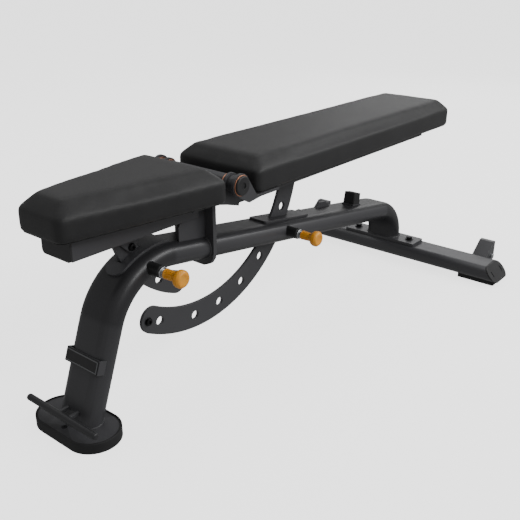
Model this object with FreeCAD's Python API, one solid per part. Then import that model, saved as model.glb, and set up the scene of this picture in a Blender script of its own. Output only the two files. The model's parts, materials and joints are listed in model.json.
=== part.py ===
import FreeCAD, Part
import math
import os

V = FreeCAD.Vector

# ---------------------------------------------------------------------------
# Adjustable weight bench, millimetres. +X runs from the seat to the head end,
# +Z is up, Y = 0 is the symmetry plane, Z = 0 is the floor.
# Places marked "ahead" or "behind" are measured along X from the pivot axis.
# ---------------------------------------------------------------------------

# Pivot axis that the seat and the backrest share
PIVOT_X = -257.81
PIVOT_Z = 431.0
MAST_HALF = 57.0
MAST_X = (-21.0, -11.0)
MAST_BELOW = 38.0
GUSSET_Y = (27.0, 33.5)
GUSSET_FRONT = 97.0
SHAFT_R = 10.0
SHAFT_HALF = 117.0
PIVOT_TUBE_R = 17.0
PIVOT_TUBE_HALF = 80.0

# Spine: flat-oval tube, flats on top and below, round sides
TUBE_FLAT_HALF = 25.0
TUBE_R = 25.0
TUBE_WALL = 3.0
RUN_SLOPE = math.radians(9.25)
RUN_Z_AT_PIVOT = 279.3
LEG_LEAN = math.radians(20.5)
LEG_FOOT_AHEAD = 349.7
FRONT_BEND_R = 150.0
REAR_BEND_R = 96.0
NECK_BEHIND = 803.0
DOUBLER_T = 5.0
REAR_SLOT_AT = 277.0
FRONT_SLOT_LEANS = (38.0, -8.0)

# Front foot
FOOT_AHEAD = 358.7
FOOT_HALF_X = 54.8
FOOT_HALF_Y = 100.4
BOOT_H = 22.0
FOOT_PLATE_Z = 12.0
FOOT_PLATE_TOP = 20.0
BOOT_RIM = 4.0
FOOT_SCREW_AHEAD = (392.0, 322.0)

# Lifting handle and name badge on the leg
HANDLE_AHEAD = 395.3
HANDLE_Z = 47.5
HANDLE_R = 7.0
HANDLE_HALF = 104.5
BADGE_Z = 131.0
BADGE_HALF = 48.3
BADGE_H = 29.0

# Crossbar and rear base
BAR_FLAT_HALF = 27.0
BAR_R = 20.0
BAR_WALL = 3.0
BAR_BOTTOM = 14.0
BAR_TOP_HALF = 347.0
BAR_BOTTOM_HALF = 381.0
CAP_T = 5.0
BASE_PLATE_T = 8.0
BASE_HALF_X = 30.0
BASE_HALF_Y = 117.0
BASE_BOLT_Y = 88.0
REAR_PAD_Y = (262.0, 368.0)

# Transport wheels behind the crossbar
WHEEL_BEHIND = 889.2
WHEEL_Z = 39.0
WHEEL_R = 23.0
WHEEL_W = 30.0
WHEEL_Y = 289.0
WHEEL_BORE_R = 5.06
AXLE_R = 5.0
FORK_T = 4.0
FORK_GAP = 2.0
FORK_SLOPE = ((853.0, 45.0), (897.0, 79.0))
FORK_REAR = 911.0
FORK_COVER_T = 3.0
FORK_EYE_R = 13.0

# Hole arcs: flat plates in the symmetry plane, concentric with the pivot
ARC_T = 7.0
HOLE_R = 10.2
SLOT_CLEAR = 1.6
BACK_ARC_IN = 286.6
BACK_ARC_OUT = 346.1
BACK_PIN_DEG = -36.7
BACK_PITCH = 14.65
BACK_HOLES = (-0.668, 0, 1, 2, 3, 4, 5.345)
BACK_END_DEG = -121.3
SEAT_ARC_IN = 206.0
SEAT_ARC_OUT = 255.0
SEAT_TOP_DEG = -166.0
SEAT_PIN_DEG = -144.3
SEAT_PITCH = 10.1
SEAT_HOLES = (0, 1, 2)
SEAT_END_DEG = -110.0
DECLINE_DEG = 13.6

# Seat pad and frame, drawn level and then tilted about the pivot
SEAT_REST_DEG = 0.7
SEAT_REAR = 38.0
SEAT_FRONT = 395.0
SEAT_REAR_HALF = 120.5
SEAT_FRONT_HALF = 61.0
SEAT_BOTTOM = -26.0
SEAT_TOP = 40.5
CHANNEL_HALF = 40.0
CHANNEL_T = 4.0
CHANNEL_FRONT = 359.0
CHANNEL_REAR = 44.0
CHANNEL_BOTTOM = -71.5

# Backrest pad and tray, drawn level and then tilted about the pivot
BACK_REST_DEG = 0.55
BACK_NEAR = 58.0
BACK_FAR = 929.0
BACK_HALF = 117.0
BACK_BOTTOM = -31.0
BACK_TOP = 37.0
TRAY_HALF = 78.0
TRAY_T = 4.0
TRAY_NEAR = 30.0
TRAY_FAR = 845.0
TRAY_BOTTOM = -54.0

# Pads
BEVEL = 18.0
BEVEL_DROP = 19.0
BOARD_T = 12.0
BOARD_INSET = 10.0
GAP = 0.3

# Hinge stack, distances from the symmetry plane
EAR_SEAT = (86.0, 92.0)
HINGE_TUBE = (83.2, 107.8)
BUSH_OUT_R = 13.0
BUSH_BORE_R = 10.06
BUSH_FLANGE_R = 19.0
BUSH_FLANGE_T = 2.5
EAR_BACK = (111.2, 117.2)
CAP_R = 20.0
CAP_END = 124.0

# Pop-pins
PIN_TIP_Y = 4.1
PIN_TAPER = 2.0
PIN_TIP_DROP = 1.6
PIN_R = 9.2
PIN_STEM_R = 4.0
NOSE_END_Y = 46.0
NOSE_STEM_R = 5.0
HOUSING_R = 13.0
HOUSING_Y = (30.0, 78.0)
SLEEVE_R = 8.0
SLEEVE_START = 51.0
SLEEVE_END = 86.0
SLEEVE_RING = (78.1, 81.2, 11.5)
SLEEVE_EDGE = 0.8
SLEEVE_BORE_R = 6.6
SLEEVE_BORE_END = 80.0
KNOB_START = 87.0
KNOB_END = 136.0
KNOB_R = 18.2
KNOB_RECESS_R = 8.35
KNOB_RECESS_END = 93.5
KNOB_WAIST = ((0, 9.8), (1.5, 10.8), (14, 10.4), (22, 10.0), (27, 11.0), (34, 16.6), (36, KNOB_R))
KNOB_BEVEL = (4.5, 3.6)
COLLAR_Y = 55.0
COLLAR_T = 3.0
COLLAR_R = 6.4
STEM_END = 120.0
COIL_R = 5.2
COIL_WIRE_R = 0.6
COIL_TURNS = 6

# Bumper
BUMPER_BEHIND = 606.0
BUMPER_HALF_X = 15.0
BUMPER_HALF_Y = 17.0
BUMPER_GAP = 0.6


def rel(ahead, z):
    """A point of the symmetry plane, from its distance behind the pivot and its height above it."""
    return V(PIVOT_X + ahead, 0, PIVOT_Z + z)


def polar(radius, degrees, y=0.0):
    """A point at a radius and angle from the pivot axis."""
    a = math.radians(degrees)
    return V(PIVOT_X + radius * math.cos(a), y, PIVOT_Z + radius * math.sin(a))


def settle(shape, degrees):
    """Turn a shape about the pivot axis; positive lifts its front."""
    out = shape.copy()
    out.rotate(V(PIVOT_X, 0, PIVOT_Z), V(0, 1, 0), degrees)
    return out


def plate_xz(points, y0, y1):
    """A flat plate with a polygon outline in XZ, from y0 to y1."""
    wire = Part.makePolygon([V(p[0], y0, p[1]) for p in list(points) + [points[0]]])
    return Part.Face(wire).extrude(V(0, y1 - y0, 0))


def plate_yz(points, x0, x1):
    """A flat plate with a polygon outline in YZ, from x0 to x1."""
    wire = Part.makePolygon([V(x0, p[0], p[1]) for p in list(points) + [points[0]]])
    return Part.Face(wire).extrude(V(x1 - x0, 0, 0))


def rod(radius, x, z, y0, y1):
    """A round bar along Y."""
    return Part.makeCylinder(radius, y1 - y0, V(x, y0, z), V(0, 1, 0))


def pair(make):
    """The same piece on both sides of the symmetry plane, as one compound."""
    near = make()
    far = near.mirror(V(0, 0, 0), V(0, 1, 0))
    return Part.makeCompound([near, far])


def oval(centre, normal, flat_half, radius):
    """A flat-oval wire: flats along Y, depth along `normal`."""
    y = V(0, 1, 0)
    a, b = centre + y * flat_half + normal * radius, centre - y * flat_half + normal * radius
    c, d = centre - y * flat_half - normal * radius, centre + y * flat_half - normal * radius
    near, far = centre - y * (flat_half + radius), centre + y * (flat_half + radius)
    edges = [Part.makeLine(a, b), Part.Arc(b, near, c).toShape(), Part.makeLine(c, d), Part.Arc(d, far, a).toShape()]
    return Part.Wire(edges)


def spine_path():
    """Corner points and directions of the spine's centre line."""
    leg = V(math.sin(LEG_LEAN), 0, math.cos(LEG_LEAN))
    run = V(math.cos(RUN_SLOPE), 0, -math.sin(RUN_SLOPE))
    neck = V(0, 0, -1)
    foot = V(PIVOT_X - LEG_FOOT_AHEAD, 0, BOOT_H)
    under = V(PIVOT_X, 0, RUN_Z_AT_PIVOT)
    # where the leg's line meets the run's line
    gap = under - foot
    t = (gap.x * run.z - gap.z * run.x) / (leg.x * run.z - leg.z * run.x)
    front = foot + leg * t
    neck_x = PIVOT_X + NECK_BEHIND
    rear = under + run * ((neck_x - under.x) / run.x)
    return leg, run, neck, foot, front, rear


def spine_solid(offset):
    """The spine's solid outline, with its section grown by `offset`."""
    leg, run, neck, foot, front, rear = spine_path()
    r = TUBE_R + offset
    y_axis = V(0, 1, 0)

    def left_of(direction):
        return V(-direction.z, 0, direction.x)

    def face(centre, direction):
        return Part.Face(oval(centre, left_of(direction), TUBE_FLAT_HALF, r))

    turn_1 = math.acos(leg.dot(run))
    turn_2 = math.acos(run.dot(neck))
    cut_1 = FRONT_BEND_R * math.tan(turn_1 / 2)
    cut_2 = REAR_BEND_R * math.tan(turn_2 / 2)
    start = foot - leg * 30.0
    bend_1 = front - leg * cut_1
    run_1 = front + run * cut_1
    bend_2 = rear - run * cut_2
    run_2 = rear + neck * cut_2
    centre_1 = bend_1 - left_of(leg) * FRONT_BEND_R
    centre_2 = bend_2 - left_of(run) * REAR_BEND_R
    pieces = [
        face(start, leg).extrude(bend_1 - start),
        face(bend_1, leg).revolve(centre_1, y_axis, math.degrees(turn_1)),
        face(run_1, run).extrude(bend_2 - run_1),
        face(bend_2, run).revolve(centre_2, y_axis, math.degrees(turn_2)),
        face(run_2, neck).extrude(neck * 60.0),
    ]
    solid = pieces[0].multiFuse(pieces[1:]).removeSplitter()
    below_foot = Part.makeBox(400, 300, 300, V(foot.x - 250, -150, FOOT_PLATE_TOP - 300))
    below_neck = Part.makeBox(300, 300, 300, V(PIVOT_X + NECK_BEHIND - 150, -150, base_top() - 300))
    return solid.cut(below_foot).cut(below_neck)


def base_top():
    """Height of the rear base plate's upper face."""
    return BAR_BOTTOM + 2 * BAR_R + BASE_PLATE_T + 0.04


def bend_centre():
    """Centre of the front bend."""
    leg, run, _, _, front, _ = spine_path()
    turn = math.acos(leg.dot(run))
    cut = FRONT_BEND_R * math.tan(turn / 2)
    return front - leg * cut - V(-leg.z, 0, leg.x) * FRONT_BEND_R


def run_top(ahead):
    """Height of the run's upper flat at a distance behind the pivot."""
    return RUN_Z_AT_PIVOT - ahead * math.tan(RUN_SLOPE) + TUBE_R / math.cos(RUN_SLOPE)


def ring(inner, outer, half):
    """A full ring about the pivot axis, `half` thick each way."""
    big = rod(outer, PIVOT_X, PIVOT_Z, -half, half)
    return big.cut(rod(inner, PIVOT_X, PIVOT_Z, -half - 1, half + 1))


def arc_plate(inner, outer, deg_top, deg_end):
    """An arc plate: square at the top, round at its free end."""
    mid = (inner + outer) / 2
    half = (outer - inner) / 2
    y0 = -ARC_T / 2
    steps = [(inner, deg_top), (outer, deg_top), (outer, deg_end), (inner, deg_end)]
    p = [polar(r, a, y0) for r, a in steps]
    mean = (deg_top + deg_end) / 2
    edges = [
        Part.makeLine(p[0], p[1]),
        Part.Arc(p[1], polar(outer, mean, y0), p[2]).toShape(),
        Part.makeLine(p[2], p[3]),
        Part.Arc(p[3], polar(inner, mean, y0), p[0]).toShape(),
    ]
    plate = Part.Face(Part.Wire(edges)).extrude(V(0, ARC_T, 0))
    end = polar(mid, deg_end)
    nose = rod(half, end.x, end.z, y0, -y0)
    return plate.fuse(nose).removeSplitter()


def drill(shape, radius, point, y0=-30.0, y1=30.0):
    """Cut a round hole along Y through a point."""
    return shape.cut(rod(radius, point.x, point.z, y0, y1))


def pin_points():
    """Axis points of the front and the rear pop-pin."""
    front = polar((SEAT_ARC_IN + SEAT_ARC_OUT) / 2, SEAT_PIN_DEG)
    rear = polar((BACK_ARC_IN + BACK_ARC_OUT) / 2, BACK_PIN_DEG)
    return {"front": front, "rear": rear}


# ---------------------------------------------------------------------------
# Spine and what is welded to it
# ---------------------------------------------------------------------------

def slot_cutters():
    """The two arc slots, cut through the top and the bottom of the tube."""
    half = ARC_T / 2 + SLOT_CLEAR
    behind = Part.makeBox(500, 60, 420, V(PIVOT_X + 40, -30, 20))
    ahead = Part.makeBox(400, 60, 420, V(PIVOT_X - 420, -30, 100))
    back = ring(BACK_ARC_IN - SLOT_CLEAR, BACK_ARC_OUT + SLOT_CLEAR, half).common(behind)
    seat = ring(SEAT_ARC_IN - SLOT_CLEAR, SEAT_ARC_OUT + SLOT_CLEAR, half).common(ahead)
    return back, seat


def spine_tube():
    """Bent flat-oval tube with both slots and the pop-pins' side holes."""
    tube = spine_solid(0.0).cut(spine_solid(-TUBE_WALL))
    for cutter in slot_cutters():
        tube = tube.cut(cutter)
    for point in pin_points().values():
        tube = drill(tube, HOUSING_R + 0.1, point, -80, -20)
    return tube


def rear_slot_plate():
    """Doubler on the run round the backrest arc's slot."""
    up = V(math.sin(RUN_SLOPE), 0, math.cos(RUN_SLOPE))
    mid = V(PIVOT_X + REAR_SLOT_AT, 0, run_top(REAR_SLOT_AT))
    half_l, half_w, thick, corner = 87.0, 27.0, DOUBLER_T, 6.0
    box = Part.makeBox(2 * half_l, 2 * half_w, thick, V(-half_l, -half_w, 0))
    upright = [e for e in box.Edges if abs(e.tangentAt(e.FirstParameter).z) > 0.99]
    box = box.makeFillet(corner, upright)
    box.rotate(V(0, 0, 0), V(0, 1, 0), math.degrees(RUN_SLOPE))
    box.translate(mid + up * 0.02)
    return box.cut(slot_cutters()[0])


def front_slot_plate():
    """Doubler that follows the front bend round the seat arc's slot, with a round lower end."""
    centre = bend_centre()
    inner = FRONT_BEND_R + TUBE_R + 0.02
    outer = inner + DOUBLER_T
    half_w = TUBE_FLAT_HALF
    low, high = FRONT_SLOT_LEANS
    shell = Part.makeCylinder(outer, 2 * half_w, V(centre.x, -half_w, centre.z), V(0, 1, 0))
    shell = shell.cut(Part.makeCylinder(inner, 2 * half_w + 2, V(centre.x, -half_w - 1, centre.z), V(0, 1, 0)))
    reach = FRONT_BEND_R + 110.0

    def wedge(leans):
        """The part of the bend between the first and the last lean."""
        rim = [(centre.x - reach * math.sin(math.radians(a)), centre.z + reach * math.cos(math.radians(a)))
               for a in leans]
        return plate_xz([(centre.x, centre.z)] + rim, -half_w, half_w)

    # a post square to the bend rounds the lower end
    hub = low - math.degrees(half_w / outer)
    axis = V(-math.sin(math.radians(hub)), 0, math.cos(math.radians(hub)))
    post = Part.makeCylinder(half_w, 90, centre + axis * (outer - 45), axis)
    tail = shell.common(wedge((low, (low + high) / 2, high))).common(post)
    body = shell.common(wedge((hub, (hub + high) / 2, high)))
    plate = body.fuse(tail).removeSplitter()
    return plate.cut(slot_cutters()[1])


def side_lug():
    """Small welded lug on the far edge of the run's upper flat."""
    x0, x1, h = 462.0, 524.0, 15.0
    outline = [(PIVOT_X + x0, run_top(x0)), (PIVOT_X + x0 + 14, run_top(x0 + 14) + h),
               (PIVOT_X + x1 - 22, run_top(x1 - 22) + h), (PIVOT_X + x1, run_top(x1))]
    return plate_xz(outline, 17.0, 23.5)


def mast_plate():
    """Upright plate across the spine that holds the pivot tube."""
    bottom = RUN_Z_AT_PIVOT - MAST_BELOW
    shoulder = PIVOT_Z - 30.0
    right = [(28, bottom), (46, bottom + 8), (54, bottom + 20), (MAST_HALF, bottom + 34), (MAST_HALF, shoulder),
             (MAST_HALF - 12, PIVOT_Z)]
    outline = right + [(-y, z) for y, z in reversed(right)]
    plate = plate_yz(outline, PIVOT_X + MAST_X[0], PIVOT_X + MAST_X[1])
    plate = plate.cut(spine_solid(0.05))
    return drill(plate, PIVOT_TUBE_R + 0.05, V(PIVOT_X, 0, PIVOT_Z), -90, 90)


def mast_gusset():
    """Upright gusset ahead of the mast plate, welded along the tube's top."""
    back = MAST_X[0] - 0.05
    front = PIVOT_X - GUSSET_FRONT
    low = RUN_Z_AT_PIVOT + 10.0
    outline = [(front, low), (front, PIVOT_Z - 82), (front + 5, PIVOT_Z - 75),
               (PIVOT_X - 70, PIVOT_Z - 70), (PIVOT_X + back, PIVOT_Z - 48), (PIVOT_X + back, low)]
    y0, y1 = GUSSET_Y
    whole = plate_xz(outline, -y1, -y0).cut(spine_solid(0.05))
    return max(whole.Solids, key=lambda solid: solid.Volume)


def pivot_tube():
    """Tube welded across the mast plate's top."""
    tube = rod(PIVOT_TUBE_R, PIVOT_X, PIVOT_Z, -PIVOT_TUBE_HALF, PIVOT_TUBE_HALF)
    return drill(tube, SHAFT_R + 0.02, V(PIVOT_X, 0, PIVOT_Z), -90, 90)


def pivot_shaft():
    """Solid shaft through the whole hinge."""
    return rod(SHAFT_R, PIVOT_X, PIVOT_Z, -SHAFT_HALF, SHAFT_HALF)


# ---------------------------------------------------------------------------
# Front foot, handle and badge
# ---------------------------------------------------------------------------

def stadium(half_x, half_y, x, z0, z1):
    """A stadium block: round at both ends along Y."""
    block = Part.makeBox(2 * half_x, 2 * (half_y - half_x), z1 - z0, V(x - half_x, half_x - half_y, z0))
    ends = [Part.makeCylinder(half_x, z1 - z0, V(x, s * (half_y - half_x), z0)) for s in (-1, 1)]
    return block.multiFuse(ends).removeSplitter()


def screw_down(x, y, z_top, head_r, head_h, body_r, length):
    """A countersunk screw that points down, its head flush with z_top."""
    head = Part.makeCone(body_r, head_r, head_h, V(x, y, z_top - head_h))
    body = Part.makeCylinder(body_r, length, V(x, y, z_top - head_h - length))
    drive = Part.makeCylinder(body_r * 0.55, head_h * 0.7, V(x, y, z_top - head_h * 0.7))
    return head.fuse(body).cut(drive)


def front_foot():
    """Steel foot plate, rubber boot round it, and the screws that join them."""
    x = PIVOT_X - FOOT_AHEAD
    fit = 0.1
    plate = stadium(FOOT_HALF_X - BOOT_RIM, FOOT_HALF_Y - BOOT_RIM, x, FOOT_PLATE_Z, FOOT_PLATE_TOP)
    boot = stadium(FOOT_HALF_X, FOOT_HALF_Y, x, 0, BOOT_H)
    rim = [e for e in boot.Edges if e.BoundBox.ZLength < 0.01 and e.BoundBox.ZMin > BOOT_H - 0.1]
    boot = boot.makeFillet(1.8, rim)
    boot = boot.cut(stadium(FOOT_HALF_X - BOOT_RIM, FOOT_HALF_Y - BOOT_RIM, x, FOOT_PLATE_Z, BOOT_H + 1))
    screws = []
    for ahead in FOOT_SCREW_AHEAD:
        screw = screw_down(PIVOT_X - ahead, 0, FOOT_PLATE_TOP, 6.0, 3.5, 3.0, 11.0)
        hole = Part.makeCone(3.0 + fit, 6.0 + fit, 3.5, V(PIVOT_X - ahead, 0, FOOT_PLATE_TOP - 3.5))
        shank = Part.makeCylinder(3.0 + fit, 14.6, V(PIVOT_X - ahead, 0, FOOT_PLATE_TOP - 14.6))
        plate = plate.cut(hole).cut(shank)
        boot = boot.cut(shank)
        screws.append(screw)
    return plate, boot, Part.makeCompound(screws)


def handle_bar():
    """Round lifting bar across the front of the leg."""
    bar = rod(HANDLE_R, PIVOT_X - HANDLE_AHEAD, HANDLE_Z, -HANDLE_HALF, HANDLE_HALF)
    rims = [e for e in bar.Edges if e.BoundBox.YLength < 0.01]
    return bar.makeFillet(4.5, rims)


def handle_tabs():
    """Two tabs that weld the lifting bar to the leg."""
    x = PIVOT_X - HANDLE_AHEAD
    bar = rod(HANDLE_R + 0.02, x, HANDLE_Z, -60, 60)
    leg = spine_solid(0.02)

    def make():
        tab = plate_xz([(x - 3, HANDLE_Z - 6), (x + 60, HANDLE_Z - 6), (x + 60, HANDLE_Z + 1),
                        (x - 3, HANDLE_Z + 1)], -18, -12)
        tab = tab.cut(bar).cut(leg)
        keep = [s for s in tab.Solids if s.CenterOfMass.x > x and s.CenterOfMass.x < x + 45]
        return keep[0]
    return pair(make)


def leg_frame(z):
    """Centre of the leg at a height, with its upward and its forward direction."""
    leg, _, _, foot, _, _ = spine_path()
    point = foot + leg * ((z - foot.z) / leg.z)
    return point, leg, V(-leg.z, 0, leg.x)


def leg_block(u0, u1, y0, y1, height, z):
    """A block in the leg's own directions: depth u forward, Y across, height along the leg."""
    centre, up, out = leg_frame(z)
    low = centre - up * (height / 2)
    corners = [low + out * u0 + V(0, y0, 0), low + out * u1 + V(0, y0, 0),
               low + out * u1 + V(0, y1, 0), low + out * u0 + V(0, y1, 0)]
    face = Part.Face(Part.makePolygon(corners + [corners[0]]))
    return face.extrude(up * height)


def badge():
    """Channel-shaped badge holder on the leg's front, and a plain plate in it."""
    front = TUBE_R + 0.05
    wall, side = 3.0, 2.6
    holder = leg_block(front, front + wall, -BADGE_HALF, BADGE_HALF, BADGE_H, BADGE_Z)
    for s in (-1, 1):
        y0, y1 = sorted((s * BADGE_HALF, s * (BADGE_HALF - side)))
        holder = holder.fuse(leg_block(5.0, front + wall, y0, y1, BADGE_H, BADGE_Z))
    plate = leg_block(front + wall + 0.02, front + wall + 1.6, -BADGE_HALF + 1.5, BADGE_HALF - 1.5,
                      BADGE_H - 2.5, BADGE_Z)
    return holder.removeSplitter().cut(spine_solid(0.05)), plate


# ---------------------------------------------------------------------------
# Rear base, crossbar and wheels
# ---------------------------------------------------------------------------

def bar_solid(grow, half):
    """The crossbar's flat-oval outline along Y."""
    x, z = PIVOT_X + NECK_BEHIND, BAR_BOTTOM + BAR_R
    r = BAR_R + grow
    a, b = V(x - BAR_FLAT_HALF, -half, z + r), V(x + BAR_FLAT_HALF, -half, z + r)
    c, d = V(x + BAR_FLAT_HALF, -half, z - r), V(x - BAR_FLAT_HALF, -half, z - r)
    rear, front = V(x + BAR_FLAT_HALF + r, -half, z), V(x - BAR_FLAT_HALF - r, -half, z)
    edges = [Part.makeLine(a, b), Part.Arc(b, rear, c).toShape(), Part.makeLine(c, d), Part.Arc(d, front, a).toShape()]
    return Part.Face(Part.Wire(edges)).extrude(V(0, 2 * half, 0))


def end_wedge(inset, sign):
    """Everything beyond a slanted end face, moved inward by `inset`."""
    top, bottom = BAR_TOP_HALF - inset, BAR_BOTTOM_HALF - inset
    z0, z1 = BAR_BOTTOM, BAR_BOTTOM + 2 * BAR_R
    slope = (bottom - top) / (z1 - z0)
    low, high = z0 - 20, z1 + 20
    outline = [(sign * (bottom + slope * 20), low), (sign * 480, low), (sign * 480, high),
               (sign * (top - slope * 20), high)]
    x = PIVOT_X + NECK_BEHIND
    return plate_yz(outline, x - 80, x + 80)


def crossbar():
    """Flat-oval crossbar with slanted ends."""
    bar = bar_solid(0, 460).cut(bar_solid(-BAR_WALL, 470))
    for sign in (-1, 1):
        bar = bar.cut(end_wedge(CAP_T, sign))
    return bar


def crossbar_caps():
    """Moulded plugs that close the crossbar's slanted ends, each with two pockets."""
    caps = []
    x = PIVOT_X + NECK_BEHIND
    z = BAR_BOTTOM + BAR_R
    for sign in (-1, 1):
        cap = bar_solid(0, 460).common(end_wedge(CAP_T - 0.05, sign)).cut(end_wedge(0, sign))
        plug = bar_solid(-BAR_WALL - 0.1, 460).common(end_wedge(CAP_T + 14, sign)).cut(end_wedge(CAP_T - 0.5, sign))
        cap = cap.fuse(plug).removeSplitter()
        for dx in (-28.0, 28.0):
            pocket = Part.makeBox(7, 60, 14, V(x + dx - 3.5, -30, -7.0))
            upright = [e for e in pocket.Edges if e.BoundBox.YLength > 50]
            pocket = pocket.makeFillet(3.2, upright)
            pocket.translate(V(0, sign * (BAR_BOTTOM_HALF + BAR_TOP_HALF) / 2, z))
            shell = pocket.common(end_wedge(2.0, sign))
            cap = cap.cut(shell)
        caps.append(cap)
    return Part.makeCompound(caps)


def rear_base():
    """Base plate on the crossbar, and its two bolts with nuts inside the bar."""
    x = PIVOT_X + NECK_BEHIND
    z = BAR_BOTTOM + 2 * BAR_R
    plate = Part.makeBox(2 * BASE_HALF_X, 2 * BASE_HALF_Y, BASE_PLATE_T, V(x - BASE_HALF_X, -BASE_HALF_Y, z + 0.02))
    upright = [e for e in plate.Edges if e.BoundBox.ZLength > 5 and e.BoundBox.YLength < 1]
    plate = plate.makeFillet(3.0, upright)
    bolts, nuts, holes = [], [], []
    for y in (-BASE_BOLT_Y, BASE_BOLT_Y):
        top = z + BASE_PLATE_T + 0.04
        washer = Part.makeCylinder(12, 1.8, V(x, y, top))
        head = Part.makeCylinder(8.6, 7.0, V(x, y, top + 1.8))
        head = head.cut(Part.makeCylinder(4.4, 4.5, V(x, y, top + 4.4)))
        shank = Part.makeCylinder(5.0, 26.0, V(x, y, top - 26.0))
        bolts.append(washer.fuse(head).fuse(shank).removeSplitter())
        holes.append(Part.makeCylinder(5.1, 30.0, V(x, y, top - 30.0)))
        nut = Part.makeCylinder(9.0, 8.0, V(x, y, z - BAR_WALL - 8.05))
        nuts.append(nut.cut(Part.makeCylinder(5.05, 20, V(x, y, z - 20))))
    for hole in holes:
        plate = plate.cut(hole)
    return plate, Part.makeCompound(bolts), Part.makeCompound(nuts), holes


def rear_pads():
    """Rubber pads under the crossbar and the screws that hold them."""
    x = PIVOT_X + NECK_BEHIND
    y0, y1 = REAR_PAD_Y
    fit = 0.1

    def make_pad():
        pad = Part.makeBox(2 * BAR_FLAT_HALF, y1 - y0, BAR_BOTTOM, V(x - BAR_FLAT_HALF, -y1, 0))
        edges = [e for e in pad.Edges if e.BoundBox.ZLength > 5]
        pad = pad.makeFillet(4.0, edges)
        for y in (y0 + 25, y1 - 25):
            pad = pad.cut(Part.makeCylinder(6.0 + fit, 4.0, V(x, -y, 0)))
            pad = pad.cut(Part.makeCylinder(3.0 + fit, 20, V(x, -y, 0)))
        return pad

    def make_screws():
        solids = []
        for y in (y0 + 25, y1 - 25):
            head = Part.makeCylinder(6.0, 2.6, V(x, -y, 1.4))
            solids.append(head.fuse(Part.makeCylinder(3.0, 16, V(x, -y, 2.0))).removeSplitter())
        return Part.makeCompound(solids)
    return pair(make_pad), pair(make_screws), [V(x, s * y, 0) for s in (-1, 1) for y in (y0 + 25, y1 - 25)]


def wheel_parts():
    """Forks, axle bolts and wheels behind the crossbar."""
    x, z = PIVOT_X + WHEEL_BEHIND, WHEEL_Z
    bar_rear = PIVOT_X + NECK_BEHIND + BAR_FLAT_HALF
    inner = WHEEL_W / 2 + FORK_GAP
    bar = bar_solid(0.02, 460)

    (slope_x, slope_z), (top_x, top_z) = FORK_SLOPE
    slope_x, top_x, end_x = PIVOT_X + slope_x, PIVOT_X + top_x, PIVOT_X + FORK_REAR

    def make_fork():
        """Two cheeks closed by a cover over the wheel's front and top."""
        y0, y1 = -WHEEL_Y - inner - FORK_T, -WHEEL_Y + inner + FORK_T
        side = [(bar_rear, BAR_BOTTOM + 8), (x - 4, z - FORK_EYE_R), (end_x, z - 2), (end_x, top_z), (top_x, top_z),
                (slope_x, slope_z), (bar_rear, slope_z)]
        fork = plate_xz(side, y0, y1).fuse(rod(FORK_EYE_R, x, z, y0, y1))
        t = FORK_COVER_T
        inside = [(bar_rear - 30, BAR_BOTTOM - 30), (end_x + 40, BAR_BOTTOM - 30), (end_x + 40, top_z - t),
                  (top_x + t * 0.4, top_z - t), (slope_x + t * 0.6, slope_z - t), (bar_rear - 30, slope_z - t - 30)]
        fork = fork.cut(plate_xz(inside, -WHEEL_Y - inner, -WHEEL_Y + inner))
        fork = drill(fork, AXLE_R + 0.05, V(x, 0, z), -WHEEL_Y - 60, -WHEEL_Y + 60)
        return fork.cut(bar).removeSplitter()

    def make_axle():
        reach = inner + FORK_T
        y = -WHEEL_Y
        axle = rod(AXLE_R, x, z, y - reach - 6, y + reach + 6)
        axle = axle.fuse(rod(8.5, x, z, y - reach - 6, y - reach - 0.05))
        return axle.fuse(rod(9.5, x, z, y + reach + 0.05, y + reach + 7)).removeSplitter()

    def make_wheel(side):
        y = side * WHEEL_Y
        wheel = rod(WHEEL_R, x, z, y - WHEEL_W / 2, y + WHEEL_W / 2)
        rims = [e for e in wheel.Edges if e.BoundBox.YLength < 0.01]
        wheel = wheel.makeFillet(3.5, rims)
        for s in (-1, 1):
            face = y + s * WHEEL_W / 2
            y0, y1 = sorted((face, face - s * 4.0))
            dish = rod(WHEEL_R - 8.0, x, z, y0, y1).cut(rod(9.0, x, z, y0 - 1, y1 + 1))
            wheel = wheel.cut(dish)
        return drill(wheel, WHEEL_BORE_R, V(x, 0, z), y - 30, y + 30)

    return pair(make_fork), pair(make_axle), make_wheel(-1), make_wheel(1)


# ---------------------------------------------------------------------------
# Pads
# ---------------------------------------------------------------------------

def rounded_outline(corners, radii, inset, z):
    """A closed wire round a convex outline, moved inward, with round corners."""
    n = len(corners)
    shifted = []
    for i in range(n):
        ax, ay = corners[i - 1]
        bx, by = corners[i]
        cx, cy = corners[(i + 1) % n]
        n1 = V(-(by - ay), bx - ax, 0).normalize()
        n2 = V(-(cy - by), cx - bx, 0).normalize()
        mix = n1 + n2
        shifted.append(V(bx, by, 0) + mix * (inset / (1 + n1.dot(n2))))
    edges = []
    stops = []
    for i in range(n):
        a, b, c = shifted[i - 1], shifted[i], shifted[(i + 1) % n]
        d1, d2 = (a - b).normalize(), (c - b).normalize()
        half = math.acos(max(-1, min(1, d1.dot(d2)))) / 2
        radius = max(radii[i] - inset * 0.5, 3.0)
        back = radius / math.tan(half)
        p, q = b + d1 * back, b + d2 * back
        centre = b + (d1 + d2).normalize() * (radius / math.sin(half))
        m = centre + (b - centre).normalize() * radius
        stops.append((p, m, q))
    for i in range(n):
        p, m, q = [V(s.x, s.y, z) for s in stops[i]]
        nxt = stops[(i + 1) % n][0]
        edges.append(Part.Arc(p, m, q).toShape())
        edges.append(Part.makeLine(q, V(nxt.x, nxt.y, z)))
    return Part.Wire(edges)


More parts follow.
